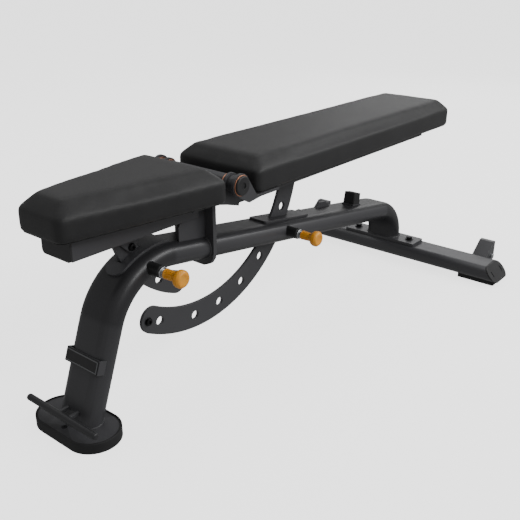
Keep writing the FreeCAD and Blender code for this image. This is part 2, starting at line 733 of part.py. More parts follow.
def pad_solid(corners, radii, bottom, top):
    """An upholstered pad: upright sides, bevelled round the top, pocket below for its board."""
    wires = [(0.0, bottom), (0.0, top - BEVEL_DROP), (BEVEL, top)]
    w = [rounded_outline(corners, radii, inset, PIVOT_Z + z) for inset, z in wires]
    low = Part.Face(w[0]).extrude(V(0, 0, wires[1][1] - wires[0][1]))
    high = Part.makeLoft([w[1], w[2]], True, True)
    pad = low.fuse(high).removeSplitter()
    pocket = rounded_outline(corners, radii, BOARD_INSET - GAP, PIVOT_Z + bottom - 1)
    return pad.cut(Part.Face(pocket).extrude(V(0, 0, BOARD_T + GAP + 1)))


def board_solid(corners, radii, bottom):
    """The plywood board in a pad's pocket."""
    wire = rounded_outline(corners, radii, BOARD_INSET, PIVOT_Z + bottom)
    return Part.Face(wire).extrude(V(0, 0, BOARD_T))


def pad_screws(points, z_plate, depth):
    """Pan-head screws from below into a board, through a plate whose lower face is z_plate."""
    solids = []
    for ahead, y in points:
        x = PIVOT_X + ahead
        z = PIVOT_Z + z_plate
        head = Part.makeCylinder(6.5, 3.2, V(x, y, z - 3.25))
        edges = [e for e in head.Edges if e.BoundBox.ZMax < z - 3.2]
        head = head.makeFillet(1.8, edges)
        solids.append(head.fuse(Part.makeCylinder(2.5, depth, V(x, y, z - 1))).removeSplitter())
    return Part.makeCompound(solids)


def screw_holes(shape, points, z_low, length, radius=2.6):
    """Cut the screws' holes out of a shape."""
    for ahead, y in points:
        shape = shape.cut(Part.makeCylinder(radius, length, V(PIVOT_X + ahead, y, PIVOT_Z + z_low)))
    return shape


# ---------------------------------------------------------------------------
# Seat
# ---------------------------------------------------------------------------

def seat_outline():
    """Plan corners of the seat pad, counter-clockwise, and their radii."""
    f, r = PIVOT_X - SEAT_FRONT, PIVOT_X - SEAT_REAR
    corners = [(f, -SEAT_FRONT_HALF), (r, -SEAT_REAR_HALF), (r, SEAT_REAR_HALF), (f, SEAT_FRONT_HALF)]
    return corners, [20.0, 14.0, 14.0, 20.0]


SEAT_SCREWS = [(-330.0, -24.0), (-330.0, 24.0), (-130.0, -24.0), (-130.0, 24.0)]


def seat_channel():
    """Inverted channel under the seat board."""
    x0, x1 = PIVOT_X - CHANNEL_FRONT, PIVOT_X - CHANNEL_REAR
    z0, z1 = PIVOT_Z + CHANNEL_BOTTOM, PIVOT_Z + SEAT_BOTTOM - 0.05
    outer = Part.makeBox(x1 - x0, 2 * CHANNEL_HALF, z1 - z0, V(x0, -CHANNEL_HALF, z0))
    long_top = [e for e in outer.Edges if e.BoundBox.XLength > 100 and e.BoundBox.ZMin > z1 - 1]
    outer = outer.makeFillet(4.0, long_top)
    w = CHANNEL_HALF - CHANNEL_T
    inner = Part.makeBox(x1 - x0 + 20, 2 * w, z1 - z0, V(x0 - 10, -w, z0 - CHANNEL_T))
    return screw_holes(outer.cut(inner), SEAT_SCREWS, SEAT_BOTTOM - 10, 20)


def seat_nose_cap():
    """Moulded cap that closes the channel's front."""
    x1 = PIVOT_X - CHANNEL_FRONT - 0.05
    z0, z1 = PIVOT_Z + CHANNEL_BOTTOM - 1.0, PIVOT_Z + SEAT_BOTTOM - 0.3
    half = CHANNEL_HALF + 1.5
    cap = Part.makeBox(4.0, 2 * half, z1 - z0, V(x1 - 4.0, -half, z0))
    lower = [e for e in cap.Edges if e.BoundBox.XLength > 3 and e.BoundBox.ZMax < z0 + 1]
    cap = cap.makeFillet(9.0, lower)
    w = CHANNEL_HALF - CHANNEL_T - 0.2
    plug = Part.makeBox(14, 2 * w, z1 - z0 - 10, V(x1 - 0.5, -w, z0 + 4))
    hollow = Part.makeBox(14, 2 * w - 6, z1 - z0 - 16, V(x1 + 1.5, -w + 3, z0 + 7))
    return cap.fuse(plug.cut(hollow)).removeSplitter()


def seat_hinge_brackets():
    """Brackets from the channel out to the hinge tubes: a wing under the board and an ear."""
    y0, y1 = EAR_SEAT
    top = PIVOT_Z + SEAT_BOTTOM - 0.1
    front, back = PIVOT_X - 112.0, PIVOT_X - 46.0

    def make():
        wing = Part.makeBox(back - front, y1 - CHANNEL_HALF - 0.05, 6.0, V(front, -y1, top - 6.0))
        ear = plate_xz([(front, top), (front, top - 8), (PIVOT_X - 48, PIVOT_Z - 34), (PIVOT_X - 15, PIVOT_Z - 42),
                        (PIVOT_X + 22, PIVOT_Z - 53), (PIVOT_X + 24, PIVOT_Z - 42), (PIVOT_X + 14, PIVOT_Z - 16),
                        (PIVOT_X, PIVOT_Z), (PIVOT_X - 22, PIVOT_Z), (PIVOT_X - 34, top)], -y1, -y0)
        ear = ear.fuse(rod(22.0, PIVOT_X, PIVOT_Z, -y1, -y0))
        bracket = wing.fuse(ear).removeSplitter()
        return drill(bracket, PIVOT_TUBE_R + 0.02, V(PIVOT_X, 0, PIVOT_Z), -120, 0)
    return pair(make)


def seat_hinge_tubes():
    """Tubes welded through the seat ears that carry the bronze bushings."""
    y0, y1 = HINGE_TUBE

    def make():
        tube = rod(PIVOT_TUBE_R, PIVOT_X, PIVOT_Z, -y1, -y0)
        return drill(tube, BUSH_OUT_R + 0.02, V(PIVOT_X, 0, PIVOT_Z), -120, 0)
    return pair(make)


def pivot_bushings():
    """Flanged bronze bushings, two to each hinge tube."""
    y0, y1 = HINGE_TUBE
    mid = (y0 + y1) / 2

    def make():
        solids = []
        for outer_end, inner_end in ((y0 - BUSH_FLANGE_T, mid - 0.5), (y1 + BUSH_FLANGE_T, mid + 0.5)):
            lo, hi = sorted((-outer_end, -inner_end))
            sleeve = rod(BUSH_OUT_R, PIVOT_X, PIVOT_Z, lo, hi)
            face = y0 if outer_end < y0 else y1
            lo, hi = sorted((-outer_end, -face - (0.02 if face == y1 else -0.02)))
            flange = rod(BUSH_FLANGE_R, PIVOT_X, PIVOT_Z, lo, hi)
            both = sleeve.fuse(flange).removeSplitter()
            solids.append(drill(both, BUSH_BORE_R, V(PIVOT_X, 0, PIVOT_Z), -130, 0))
        return Part.makeCompound(solids)
    return pair(make)


SEAT_BOLT = (222.5, -154.6)
SEAT_BOLT_2 = (232.0, -163.5)


def seat_arc():
    """Hole arc that sets the seat's tilt, with its bolt holes."""
    arc = arc_plate(SEAT_ARC_IN, SEAT_ARC_OUT, SEAT_TOP_DEG, SEAT_END_DEG)
    for k in SEAT_HOLES:
        arc = drill(arc, HOLE_R, polar((SEAT_ARC_IN + SEAT_ARC_OUT) / 2, SEAT_PIN_DEG + k * SEAT_PITCH))
    for r, a in (SEAT_BOLT, SEAT_BOLT_2):
        arc = drill(arc, 4.1, polar(r, a))
    return arc


def seat_arc_clevis():
    """Two cheek plates under the channel that grip the seat arc's top."""
    z1 = PIVOT_Z + SEAT_BOTTOM
    gap = ARC_T / 2 + 0.05
    eye = polar(*SEAT_BOLT)
    web = Part.makeBox(400, 60, 60, V(PIVOT_X - 400, -30, PIVOT_Z + SEAT_BOTTOM - CHANNEL_T - 0.1))
    web = settle(web, SEAT_REST_DEG)
    outline = [(eye.x - 38, z1), (eye.x - 38, eye.z + 22), (eye.x - 8, eye.z - 8), (eye.x + 8, eye.z - 8),
               (eye.x + 20, eye.z + 18), (eye.x + 20, z1)]

    def make():
        cheek = plate_xz(outline, -gap - 6, -gap).fuse(rod(11.0, eye.x, eye.z, -gap - 6, -gap)).removeSplitter()
        for r, a in (SEAT_BOLT, SEAT_BOLT_2):
            cheek = drill(cheek, 4.1, polar(r, a))
        return cheek.cut(web)
    return pair(make)


def arc_bolts(points, reach, radius=4.0):
    """Bolts with a round head on the near side and a nut on the far side."""
    solids = []
    for r, a in points:
        p = polar(r, a)
        bolt = rod(radius, p.x, p.z, -reach - 1, reach + 1)
        head = rod(radius * 1.9, p.x, p.z, -reach - 6, -reach - 0.05)
        nut = rod(radius * 1.8, p.x, p.z, reach + 0.05, reach + 6.5)
        solids.append(bolt.multiFuse([head, nut]).removeSplitter())
    return Part.makeCompound(solids)


# ---------------------------------------------------------------------------
# Backrest
# ---------------------------------------------------------------------------

def back_outline():
    """Plan corners of the backrest pad, counter-clockwise, and their radii."""
    a, b = PIVOT_X + BACK_NEAR, PIVOT_X + BACK_FAR
    corners = [(a, -BACK_HALF), (b, -BACK_HALF), (b, BACK_HALF), (a, BACK_HALF)]
    return corners, [16.0, 26.0, 26.0, 16.0]


BACK_SCREWS = [(x, s * 52.0) for x in (160.0, 430.0, 780.0) for s in (-1, 1)]


def back_tray():
    """Shallow folded channel under the backrest board."""
    x0, x1 = PIVOT_X + TRAY_NEAR, PIVOT_X + TRAY_FAR
    z0, z1 = PIVOT_Z + TRAY_BOTTOM, PIVOT_Z + BACK_BOTTOM - 0.05
    outer = Part.makeBox(x1 - x0, 2 * TRAY_HALF, z1 - z0, V(x0, -TRAY_HALF, z0))
    long_top = [e for e in outer.Edges if e.BoundBox.XLength > 100 and e.BoundBox.ZMin > z1 - 1]
    outer = outer.makeFillet(5.0, long_top)
    w = TRAY_HALF - TRAY_T
    inner = Part.makeBox(x1 - x0 + 20, 2 * w, z1 - z0, V(x0 - 10, -w, z0 - TRAY_T))
    return screw_holes(outer.cut(inner), BACK_SCREWS, BACK_BOTTOM - 10, 20)


def back_hinge_brackets():
    """Wings from the tray out to the hinge ears at both ends of the pivot shaft."""
    y0, y1 = EAR_BACK
    top = PIVOT_Z + BACK_BOTTOM - 0.4
    front, back = PIVOT_X + 34.0, PIVOT_X + 124.0

    def make():
        wing = Part.makeBox(back - front, y1 - TRAY_HALF - 0.05, 6.0, V(front, -y1, top - 6.0))
        ear = plate_xz([(PIVOT_X - 8, PIVOT_Z - 23), (PIVOT_X + 26, PIVOT_Z - 42), (PIVOT_X + 62, top - 6),
                        (back, top - 6), (back, top), (PIVOT_X + 50, top), (PIVOT_X + 22, PIVOT_Z + 10),
                        (PIVOT_X, PIVOT_Z)], -y1, -y0)
        ear = ear.fuse(rod(24.0, PIVOT_X, PIVOT_Z, -y1, -y0))
        bracket = wing.fuse(ear).removeSplitter()
        return drill(bracket, BUSH_BORE_R, V(PIVOT_X, 0, PIVOT_Z), -130, 0)
    return pair(make)


def pivot_caps():
    """Round covers on the backrest ears over the shaft's ends."""
    def make():
        y0 = EAR_BACK[1] + 0.05
        cap = rod(CAP_R, PIVOT_X, PIVOT_Z, -CAP_END, -y0)
        rim = [e for e in cap.Edges if e.BoundBox.YMax < -CAP_END + 0.1]
        cap = cap.makeFillet(3.0, rim)
        return cap.cut(rod(7.0, PIVOT_X, PIVOT_Z, -CAP_END - 1, -CAP_END + 2.0))
    return pair(make)


BACK_BOLTS = [(304.0, -11.0), (330.0, -11.0)]


def back_arc():
    """Hole arc that sets the backrest's angle."""
    mid = (BACK_ARC_IN + BACK_ARC_OUT) / 2
    arc = arc_plate(BACK_ARC_IN, BACK_ARC_OUT, -8.6, BACK_END_DEG + 2.0)
    for k in BACK_HOLES:
        arc = drill(arc, HOLE_R, polar(mid, BACK_PIN_DEG - k * BACK_PITCH))
    for r, a in BACK_BOLTS:
        arc = drill(arc, 4.1, polar(r, a))
    return drill(arc, 5.1, polar(mid + 5, BACK_END_DEG))


def back_arc_clevis():
    """Two cheek plates inside the tray that grip the backrest arc's top."""
    x0, x1 = PIVOT_X + 262.0, PIVOT_X + 352.0
    z1 = PIVOT_Z + BACK_BOTTOM
    gap = ARC_T / 2 + 0.05
    web = Part.makeBox(400, 60, 60, V(PIVOT_X + 100, -30, PIVOT_Z + BACK_BOTTOM - TRAY_T - 0.1))
    web = settle(web, BACK_REST_DEG)

    def make():
        cheek = plate_xz([(x0, z1), (x0, z1 - 32), (x0 + 12, z1 - 45), (x1 - 12, z1 - 45), (x1, z1 - 32), (x1, z1)],
                         -gap - 6, -gap)
        for r, a in BACK_BOLTS:
            cheek = drill(cheek, 4.1, polar(r, a))
        return cheek.cut(web)
    return pair(make)


def arc_stop_bolt():
    """Bolt through the arc's free end that stops it leaving the tube."""
    p = polar((BACK_ARC_IN + BACK_ARC_OUT) / 2 + 5, BACK_END_DEG)
    bolt = rod(5.0, p.x, p.z, -13, 12)
    head = rod(8.0, p.x, p.z, -11, -ARC_T / 2 - 0.05)
    nut = rod(8.0, p.x, p.z, ARC_T / 2 + 0.05, 12)
    return bolt.multiFuse([head, nut]).removeSplitter()


# ---------------------------------------------------------------------------
# Pop-pins
# ---------------------------------------------------------------------------

def turned(profile, point):
    """A turned part on a pin's axis: (distance from the symmetry plane, radius) steps."""
    pts = [V(0, -y, r) for y, r in profile]
    pts = [V(0, pts[0].y, 0)] + pts + [V(0, pts[-1].y, 0)]
    face = Part.Face(Part.makePolygon(pts + [pts[0]]))
    shape = face.revolve(V(0, 0, 0), V(0, 1, 0), 360)
    shape.translate(V(point.x, 0, point.z))
    return shape


def pin_spring(point):
    """Coil spring between the plunger's collar and the sleeve's end."""
    y_start = COLLAR_Y + COLLAR_T + COIL_WIRE_R + 0.1
    length = SLEEVE_BORE_END - COIL_WIRE_R - 0.1 - y_start
    helix = Part.makeHelix(length / COIL_TURNS, length, COIL_R)
    section = Part.Wire(Part.makeCircle(COIL_WIRE_R, V(COIL_R, 0, 0), V(0, 1, 0)))
    spring = Part.Wire(helix.Edges).makePipeShell([section], True, True)
    spring.rotate(V(0, 0, 0), V(1, 0, 0), 90)
    spring.translate(V(point.x, -y_start, point.z))
    return spring


def pop_pin(point):
    """Housing, guide sleeve, plunger, spring and knob of one pop-pin."""
    y0, y1 = HOUSING_Y
    housing = turned([(y0, HOUSING_R), (y1 - 2.5, HOUSING_R), (y1, HOUSING_R - 2.0)], point)
    housing = drill(housing, PIN_R + 0.06, point, -SLEEVE_START + 0.05, 0)
    housing = drill(housing, SLEEVE_R + 0.02, point, -90, -SLEEVE_START + 0.06)
    ring_in, ring_out, ring_r = SLEEVE_RING
    sleeve = turned([(SLEEVE_START, SLEEVE_R), (ring_in, SLEEVE_R), (ring_in, ring_r - SLEEVE_EDGE),
                     (ring_in + SLEEVE_EDGE, ring_r), (ring_out - SLEEVE_EDGE, ring_r),
                     (ring_out, ring_r - SLEEVE_EDGE), (ring_out, SLEEVE_R), (SLEEVE_END, SLEEVE_R)], point)
    sleeve = drill(sleeve, SLEEVE_BORE_R, point, -SLEEVE_BORE_END, -30)
    sleeve = drill(sleeve, PIN_STEM_R + 0.06, point, -SLEEVE_END - 5, 0)
    plunger = turned([(PIN_TIP_Y, PIN_R - PIN_TIP_DROP), (PIN_TIP_Y + PIN_TAPER, PIN_R), (NOSE_END_Y, PIN_R),
                      (NOSE_END_Y, NOSE_STEM_R), (COLLAR_Y, NOSE_STEM_R), (COLLAR_Y, COLLAR_R),
                      (COLLAR_Y + COLLAR_T, COLLAR_R), (COLLAR_Y + COLLAR_T, PIN_STEM_R),
                      (STEM_END, PIN_STEM_R)], point)
    bevel, drop = KNOB_BEVEL
    knob = turned([(KNOB_START + run, r) for run, r in KNOB_WAIST]
                  + [(KNOB_END - bevel, KNOB_R), (KNOB_END, KNOB_R - drop)], point)
    knob = drill(knob, KNOB_RECESS_R, point, -KNOB_RECESS_END, 0)
    knob = drill(knob, PIN_STEM_R + 0.02, point, -STEM_END - 0.5, 0)
    return {"housing": housing, "sleeve": sleeve, "plunger": plunger, "spring": pin_spring(point), "knob": knob}


# ---------------------------------------------------------------------------
# Bumper
# ---------------------------------------------------------------------------

def bumper():
    """Steel foot and rubber block that carry the backrest in its lowest position."""
    x = PIVOT_X + BUMPER_BEHIND
    base = Part.makeBox(2 * BUMPER_HALF_X + 10, 2 * BUMPER_HALF_Y + 2, 4.0,
                        V(-BUMPER_HALF_X - 5, -BUMPER_HALF_Y - 1, 0.02))
    base.rotate(V(0, 0, 0), V(0, 1, 0), math.degrees(RUN_SLOPE))
    base.translate(V(x, 0, run_top(BUMPER_BEHIND)))
    wires = []
    for grow, z in ((2.5, 4.06), (0.0, 60.0)):
        hx, hy = BUMPER_HALF_X + grow, BUMPER_HALF_Y + grow * 0.4
        corners = [(-hx, -hy), (hx, -hy), (hx, hy), (-hx, hy)]
        wires.append(rounded_outline(corners, [5.0] * 4, 0.0, z))
    block = Part.makeLoft(wires, True, True)
    block.rotate(V(0, 0, 0), V(0, 1, 0), math.degrees(RUN_SLOPE))
    block.translate(V(x, 0, run_top(BUMPER_BEHIND)))
    # the tray's web at the lowest position is the block's upper limit
    web = BACK_BOTTOM - 0.05 - TRAY_T - BUMPER_GAP
    above = Part.makeBox(900, 200, 200, V(PIVOT_X + 100, -100, PIVOT_Z + web))
    above = settle(above, DECLINE_DEG + BACK_REST_DEG)
    return base, block.cut(above)


# ---------------------------------------------------------------------------
# Whole bench
# ---------------------------------------------------------------------------

def build():
    """Every node of the bench, by name."""
    nodes = {}
    nodes["spine_tube"] = spine_tube()
    nodes["front_slot_plate"] = front_slot_plate()
    nodes["rear_slot_plate"] = rear_slot_plate()
    nodes["side_lug"] = side_lug()
    nodes["mast_plate"] = mast_plate()
    nodes["mast_gusset"] = mast_gusset()
    nodes["pivot_tube"] = pivot_tube()
    nodes["pivot_shaft"] = pivot_shaft()

    plate, boot, screws = front_foot()
    nodes["front_foot_plate"] = plate
    nodes["front_foot_boot"] = boot
    nodes["front_foot_screws"] = screws
    nodes["handle_bar"] = handle_bar()
    nodes["handle_tabs"] = handle_tabs()
    nodes["badge_holder"], nodes["badge_plate"] = badge()

    bar = crossbar()
    plate, bolts, nuts, holes = rear_base()
    pads, screws, screw_points = rear_pads()
    for hole in holes:
        bar = bar.cut(hole)
    for p in screw_points:
        bar = bar.cut(Part.makeCylinder(3.1, 30, p))
    nodes["crossbar"] = bar
    nodes["crossbar_caps"] = crossbar_caps()
    nodes["rear_base_plate"] = plate
    nodes["base_bolts"] = bolts
    nodes["base_nuts"] = nuts
    nodes["rear_foot_pads"] = pads
    nodes["rear_foot_screws"] = screws
    forks, axles, left, right = wheel_parts()
    nodes["wheel_forks"] = forks
    nodes["wheel_axles"] = axles
    nodes["wheel_left"] = left
    nodes["wheel_right"] = right
    nodes["bumper_base"], nodes["bumper_block"] = bumper()

    seat = {
        "seat_pad": pad_solid(*seat_outline(), SEAT_BOTTOM, SEAT_TOP),
        "seat_board": screw_holes(board_solid(*seat_outline(), SEAT_BOTTOM), SEAT_SCREWS, SEAT_BOTTOM - 1, 11),
        "seat_channel": seat_channel(),
        "seat_nose_cap": seat_nose_cap(),
        "seat_hinge_brackets": seat_hinge_brackets(),
        "seat_hinge_tubes": seat_hinge_tubes(),
        "pivot_bushings": pivot_bushings(),
        "seat_pad_screws": pad_screws(SEAT_SCREWS, SEAT_BOTTOM - CHANNEL_T - 0.05, 13.0),
    }
    for name, shape in seat.items():
        nodes[name] = settle(shape, SEAT_REST_DEG)
    nodes["seat_arc"] = seat_arc()
    nodes["seat_arc_clevis"] = seat_arc_clevis()
    nodes["seat_arc_bolts"] = arc_bolts((SEAT_BOLT, SEAT_BOLT_2), ARC_T / 2 + 6.1)

    back = {
        "back_pad": pad_solid(*back_outline(), BACK_BOTTOM, BACK_TOP),
        "back_board": screw_holes(board_solid(*back_outline(), BACK_BOTTOM), BACK_SCREWS, BACK_BOTTOM - 1, 11),
        "back_tray": back_tray(),
        "back_hinge_brackets": back_hinge_brackets(),
        "pivot_caps": pivot_caps(),
        "back_pad_screws": pad_screws(BACK_SCREWS, BACK_BOTTOM - TRAY_T - 0.05, 13.0),
    }
    for name, shape in back.items():
        nodes[name] = settle(shape, BACK_REST_DEG)
    nodes["back_arc"] = back_arc()
    nodes["back_arc_clevis"] = back_arc_clevis()
    nodes["back_arc_bolts"] = arc_bolts(BACK_BOLTS, ARC_T / 2 + 6.1)
    nodes["arc_stop_bolt"] = arc_stop_bolt()

    for where, point in pin_points().items():
        for piece, shape in pop_pin(point).items():
            nodes["%s_pin_%s" % (where, piece)] = shape
    return nodes


def main():
    """Write one STEP file for each node and print what was made."""
    os.makedirs("parts", exist_ok=True)
    nodes = build()
    low, high = V(1e9, 1e9, 1e9), V(-1e9, -1e9, -1e9)
    for name, shape in nodes.items():
        shape.exportStep("parts/%s.step" % name)
        box = shape.BoundBox
        low = V(min(low.x, box.XMin), min(low.y, box.YMin), min(low.z, box.ZMin))
        high = V(max(high.x, box.XMax), max(high.y, box.YMax), max(high.z, box.ZMax))
        print("%-22s solids %2d valid %s" % (name, len(shape.Solids), shape.isValid()))
    print("nodes", len(nodes))
    print("low  %.2f %.2f %.2f" % (low.x, low.y, low.z))
    print("high %.2f %.2f %.2f" % (high.x, high.y, high.z))
    print("middle of X %.3f" % ((low.x + high.x) / 2))


main()
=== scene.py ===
import json
import logging
import math
from dataclasses import dataclass, field
from enum import Enum
from typing import Callable, Iterable, Sequence

import bmesh
import bpy
from mathutils import Matrix, Vector


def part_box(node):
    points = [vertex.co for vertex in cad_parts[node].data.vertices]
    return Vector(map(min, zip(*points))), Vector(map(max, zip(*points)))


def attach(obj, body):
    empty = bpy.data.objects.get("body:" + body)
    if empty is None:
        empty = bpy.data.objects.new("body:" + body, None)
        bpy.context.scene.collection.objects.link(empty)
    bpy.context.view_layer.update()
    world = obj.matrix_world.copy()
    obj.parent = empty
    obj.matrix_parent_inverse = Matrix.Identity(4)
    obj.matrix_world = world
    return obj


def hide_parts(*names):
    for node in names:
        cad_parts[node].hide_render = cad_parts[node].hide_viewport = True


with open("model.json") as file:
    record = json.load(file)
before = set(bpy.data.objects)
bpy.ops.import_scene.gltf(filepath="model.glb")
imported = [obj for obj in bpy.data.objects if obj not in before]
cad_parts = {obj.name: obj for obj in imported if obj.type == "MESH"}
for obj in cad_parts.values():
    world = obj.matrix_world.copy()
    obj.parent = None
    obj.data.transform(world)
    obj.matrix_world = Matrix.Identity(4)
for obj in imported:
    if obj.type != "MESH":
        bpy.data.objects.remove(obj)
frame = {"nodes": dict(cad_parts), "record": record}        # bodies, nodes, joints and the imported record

log = logging.getLogger("weight_bench")

MM = 0.001
Point = tuple[float, float]


# ---------------------------------------------------------------------------
# The frame: where things are
# ---------------------------------------------------------------------------

class Body(Enum):
    """The bench's moving bodies."""

    BASE = "base"
    SEAT = "seat"
    BACKREST = "backrest"
    FRONT_PIN = "front_pin"
    REAR_PIN = "rear_pin"
    WHEEL_LEFT = "wheel_left"
    WHEEL_RIGHT = "wheel_right"


def joint_place(name: str) -> Vector:
    """Point on a hinge's axis.

    Args:
        name: the joint's name.

    Returns:
        The point, in metres.
    """
    for joint in frame["record"]["behaviour"]["joints"]:
        if joint["name"] == name:
            return Vector(joint["pos_m"])
    raise KeyError(name)


def box_of(node: str) -> tuple[Vector, Vector]:
    """Lowest and highest corner of a CAD node at rest.

    Args:
        node: the node's name.

    Returns:
        Both corners, in metres.
    """
    low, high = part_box(node)
    return Vector(low), Vector(high)


def middle_of(node: str) -> Vector:
    """Middle of a CAD node's box at rest, for the node named."""
    low, high = box_of(node)
    return (low + high) / 2


PIVOT = joint_place("back_tilt")


# ---------------------------------------------------------------------------
# Shader helpers
# ---------------------------------------------------------------------------

def linear(colour: str) -> tuple[float, float, float, float]:
    """Turn an sRGB hex colour to linear light.

    Args:
        colour: six hex digits after a hash.

    Returns:
        Linear red, green, blue and an alpha of 1.
    """
    parts = [int(colour[i:i + 2], 16) / 255 for i in (1, 3, 5)]
    curve = [c / 12.92 if c <= 0.04045 else ((c + 0.055) / 1.055) ** 2.4 for c in parts]
    return (curve[0], curve[1], curve[2], 1.0)


def per_metre(size_mm: float) -> float:
    """Texture scale of a pattern whose repeat is `size_mm` millimetres."""
    return 1.0 / (size_mm * MM)


def add_node(tree: bpy.types.NodeTree, kind: str, values: dict[str, object] | None = None,
             links: dict[str, bpy.types.NodeSocket] | None = None) -> bpy.types.Node:
    """Add a node with its settings and links.

    Args:
        tree: the node tree.
        kind: the node's type.
        values: settings by name; a name that is an input sets that input, any other sets the node's own field.
        links: output sockets to link, by the name of the input that takes each.

    Returns:
        The new node.
    """
    node = tree.nodes.new(kind)
    fields = {k: v for k, v in (values or {}).items() if hasattr(node, k)}
    for name, value in fields.items():
        setattr(node, name, value)
    for name, value in (values or {}).items():
        if name not in fields:
            node.inputs[name].default_value = value
    for name, socket in (links or {}).items():
        tree.links.new(socket, node.inputs[name])
    return node


def ramp(tree: bpy.types.NodeTree, source: bpy.types.NodeSocket,
         stops: Sequence[tuple[float, tuple[float, float, float, float]]]) -> bpy.types.NodeSocket:
    """Map a value to colours.

    Args:
        tree: the node tree.
        source: the value.
        stops: positions from 0 to 1, each with its colour.

    Returns:
        The colour socket.
    """
    node = add_node(tree, "ShaderNodeValToRGB", links={"Fac": source})
    elements = node.color_ramp.elements
    while len(elements) < len(stops):
        elements.new(0.5)
    for element, (place, colour) in zip(elements, stops):
        element.position = place
        element.color = colour
    return node.outputs["Color"]


def grey(value: float) -> tuple[float, float, float, float]:
    """A neutral linear colour."""
    return (value, value, value, 1.0)


# ---------------------------------------------------------------------------
# Finishes
# ---------------------------------------------------------------------------

@dataclass(frozen=True)
class Finish:
    """A real material with its surface, drawn by nodes.

    Attributes:
        name: the material's name.
        slot: the record's material slot that it belongs to.
    """

    name: str
    slot: str

    def dress(self, tree: bpy.types.NodeTree, shader: bpy.types.Node, coords: bpy.types.NodeSocket) -> None:
        """Add this finish's nodes.

        Args:
            tree: the material's node tree.
            shader: its Principled shader.
            coords: object coordinates, in metres.
        """
        raise NotImplementedError

    def material(self) -> bpy.types.Material:
        """The Blender material, made on first use."""
        found = bpy.data.materials.get(self.name)
        if found:
            return found
        made = bpy.data.materials.new(self.name)
        made.use_nodes = True
        tree = made.node_tree
        tree.nodes.clear()
        shader = add_node(tree, "ShaderNodeBsdfPrincipled")
        add_node(tree, "ShaderNodeOutputMaterial", links={"Surface": shader.outputs["BSDF"]})
        coords = add_node(tree, "ShaderNodeTexCoord").outputs["Object"]
        self.dress(tree, shader, coords)
        return made


def soften(tree: bpy.types.NodeTree, shader: bpy.types.Node, height: bpy.types.NodeSocket | None,
           depth_mm: float, edge_mm: float) -> None:
    """Round a surface's edges for the light, and add relief.

    Args:
        tree: the node tree.
        shader: the shader whose normal is set.
        height: relief from 0 to 1, or None.
        depth_mm: the relief's full height.
        edge_mm: radius that edges catch the light with.
    """
    normal = add_node(tree, "ShaderNodeBevel", {"samples": 4, "Radius": edge_mm * MM}).outputs["Normal"]
    if height is not None:
        bump = add_node(tree, "ShaderNodeBump", {"Strength": 1.0, "Distance": depth_mm * MM},
                        {"Height": height, "Normal": normal})
        normal = bump.outputs["Normal"]
    tree.links.new(normal, shader.inputs["Normal"])


@dataclass(frozen=True)
class PowderCoat(Finish):
    """Polyester powder coat on steel, sprayed and baked.

    It gives an even satin film with a slight orange peel, a fine light fleck, and edges rubbed a little paler.
    """

    name: str = "powder_coated_steel"
    slot: str = "frame_paint"
    body_colour: str = "#313133"
    fleck_colour: str = "#6d6d70"
    rubbed_colour: str = "#5c5c5f"
    peel_mm: float = 1.6
    fleck_mm: float = 1.2

    def dress(self, tree: bpy.types.NodeTree, shader: bpy.types.Node, coords: bpy.types.NodeSocket) -> None:
        """Satin film with fleck, orange peel and rubbed edges."""
        # real fleck is about 0.1 mm; it is drawn over ten times coarser so that it shows
        fleck = add_node(tree, "ShaderNodeTexVoronoi", {"Scale": per_metre(self.fleck_mm), "Randomness": 1.0},
                         {"Vector": coords})
        fleck_mask = ramp(tree, fleck.outputs["Distance"], [(0.0, grey(1.0)), (0.16, grey(0.0))])
        cloud = add_node(tree, "ShaderNodeTexNoise", {"Scale": per_metre(90.0), "Detail": 3.0}, {"Vector": coords})
        tone = ramp(tree, cloud.outputs["Fac"], [(0.3, linear(self.body_colour)), (0.75, linear("#363638"))])
        flecked = add_node(tree, "ShaderNodeMix", {"data_type": "RGBA"})
        tree.links.new(fleck_mask, flecked.inputs[0])
        tree.links.new(tone, flecked.inputs[6])
        flecked.inputs[7].default_value = linear(self.fleck_colour)
        edge = add_node(tree, "ShaderNodeNewGeometry").outputs["Pointiness"]
        edge_mask = ramp(tree, edge, [(0.515, grey(0.0)), (0.6, grey(0.5))])
        rubbed = add_node(tree, "ShaderNodeMix", {"data_type": "RGBA"})
        tree.links.new(edge_mask, rubbed.inputs[0])
        tree.links.new(flecked.outputs[2], rubbed.inputs[6])
        rubbed.inputs[7].default_value = linear(self.rubbed_colour)
        tree.links.new(rubbed.outputs[2], shader.inputs["Base Color"])
        haze = add_node(tree, "ShaderNodeTexNoise", {"Scale": per_metre(14.0), "Detail": 4.0}, {"Vector": coords})
        rough = add_node(tree, "ShaderNodeMapRange", {"To Min": 0.32, "To Max": 0.42},
                         {"Value": haze.outputs["Fac"]})
        tree.links.new(rough.outputs["Result"], shader.inputs["Roughness"])
        shader.inputs["Metallic"].default_value = 0.15
        peel = add_node(tree, "ShaderNodeTexNoise", {"Scale": per_metre(self.peel_mm), "Detail": 1.0},
                        {"Vector": coords})
        soften(tree, shader, peel.outputs["Fac"], 0.05, 1.2)


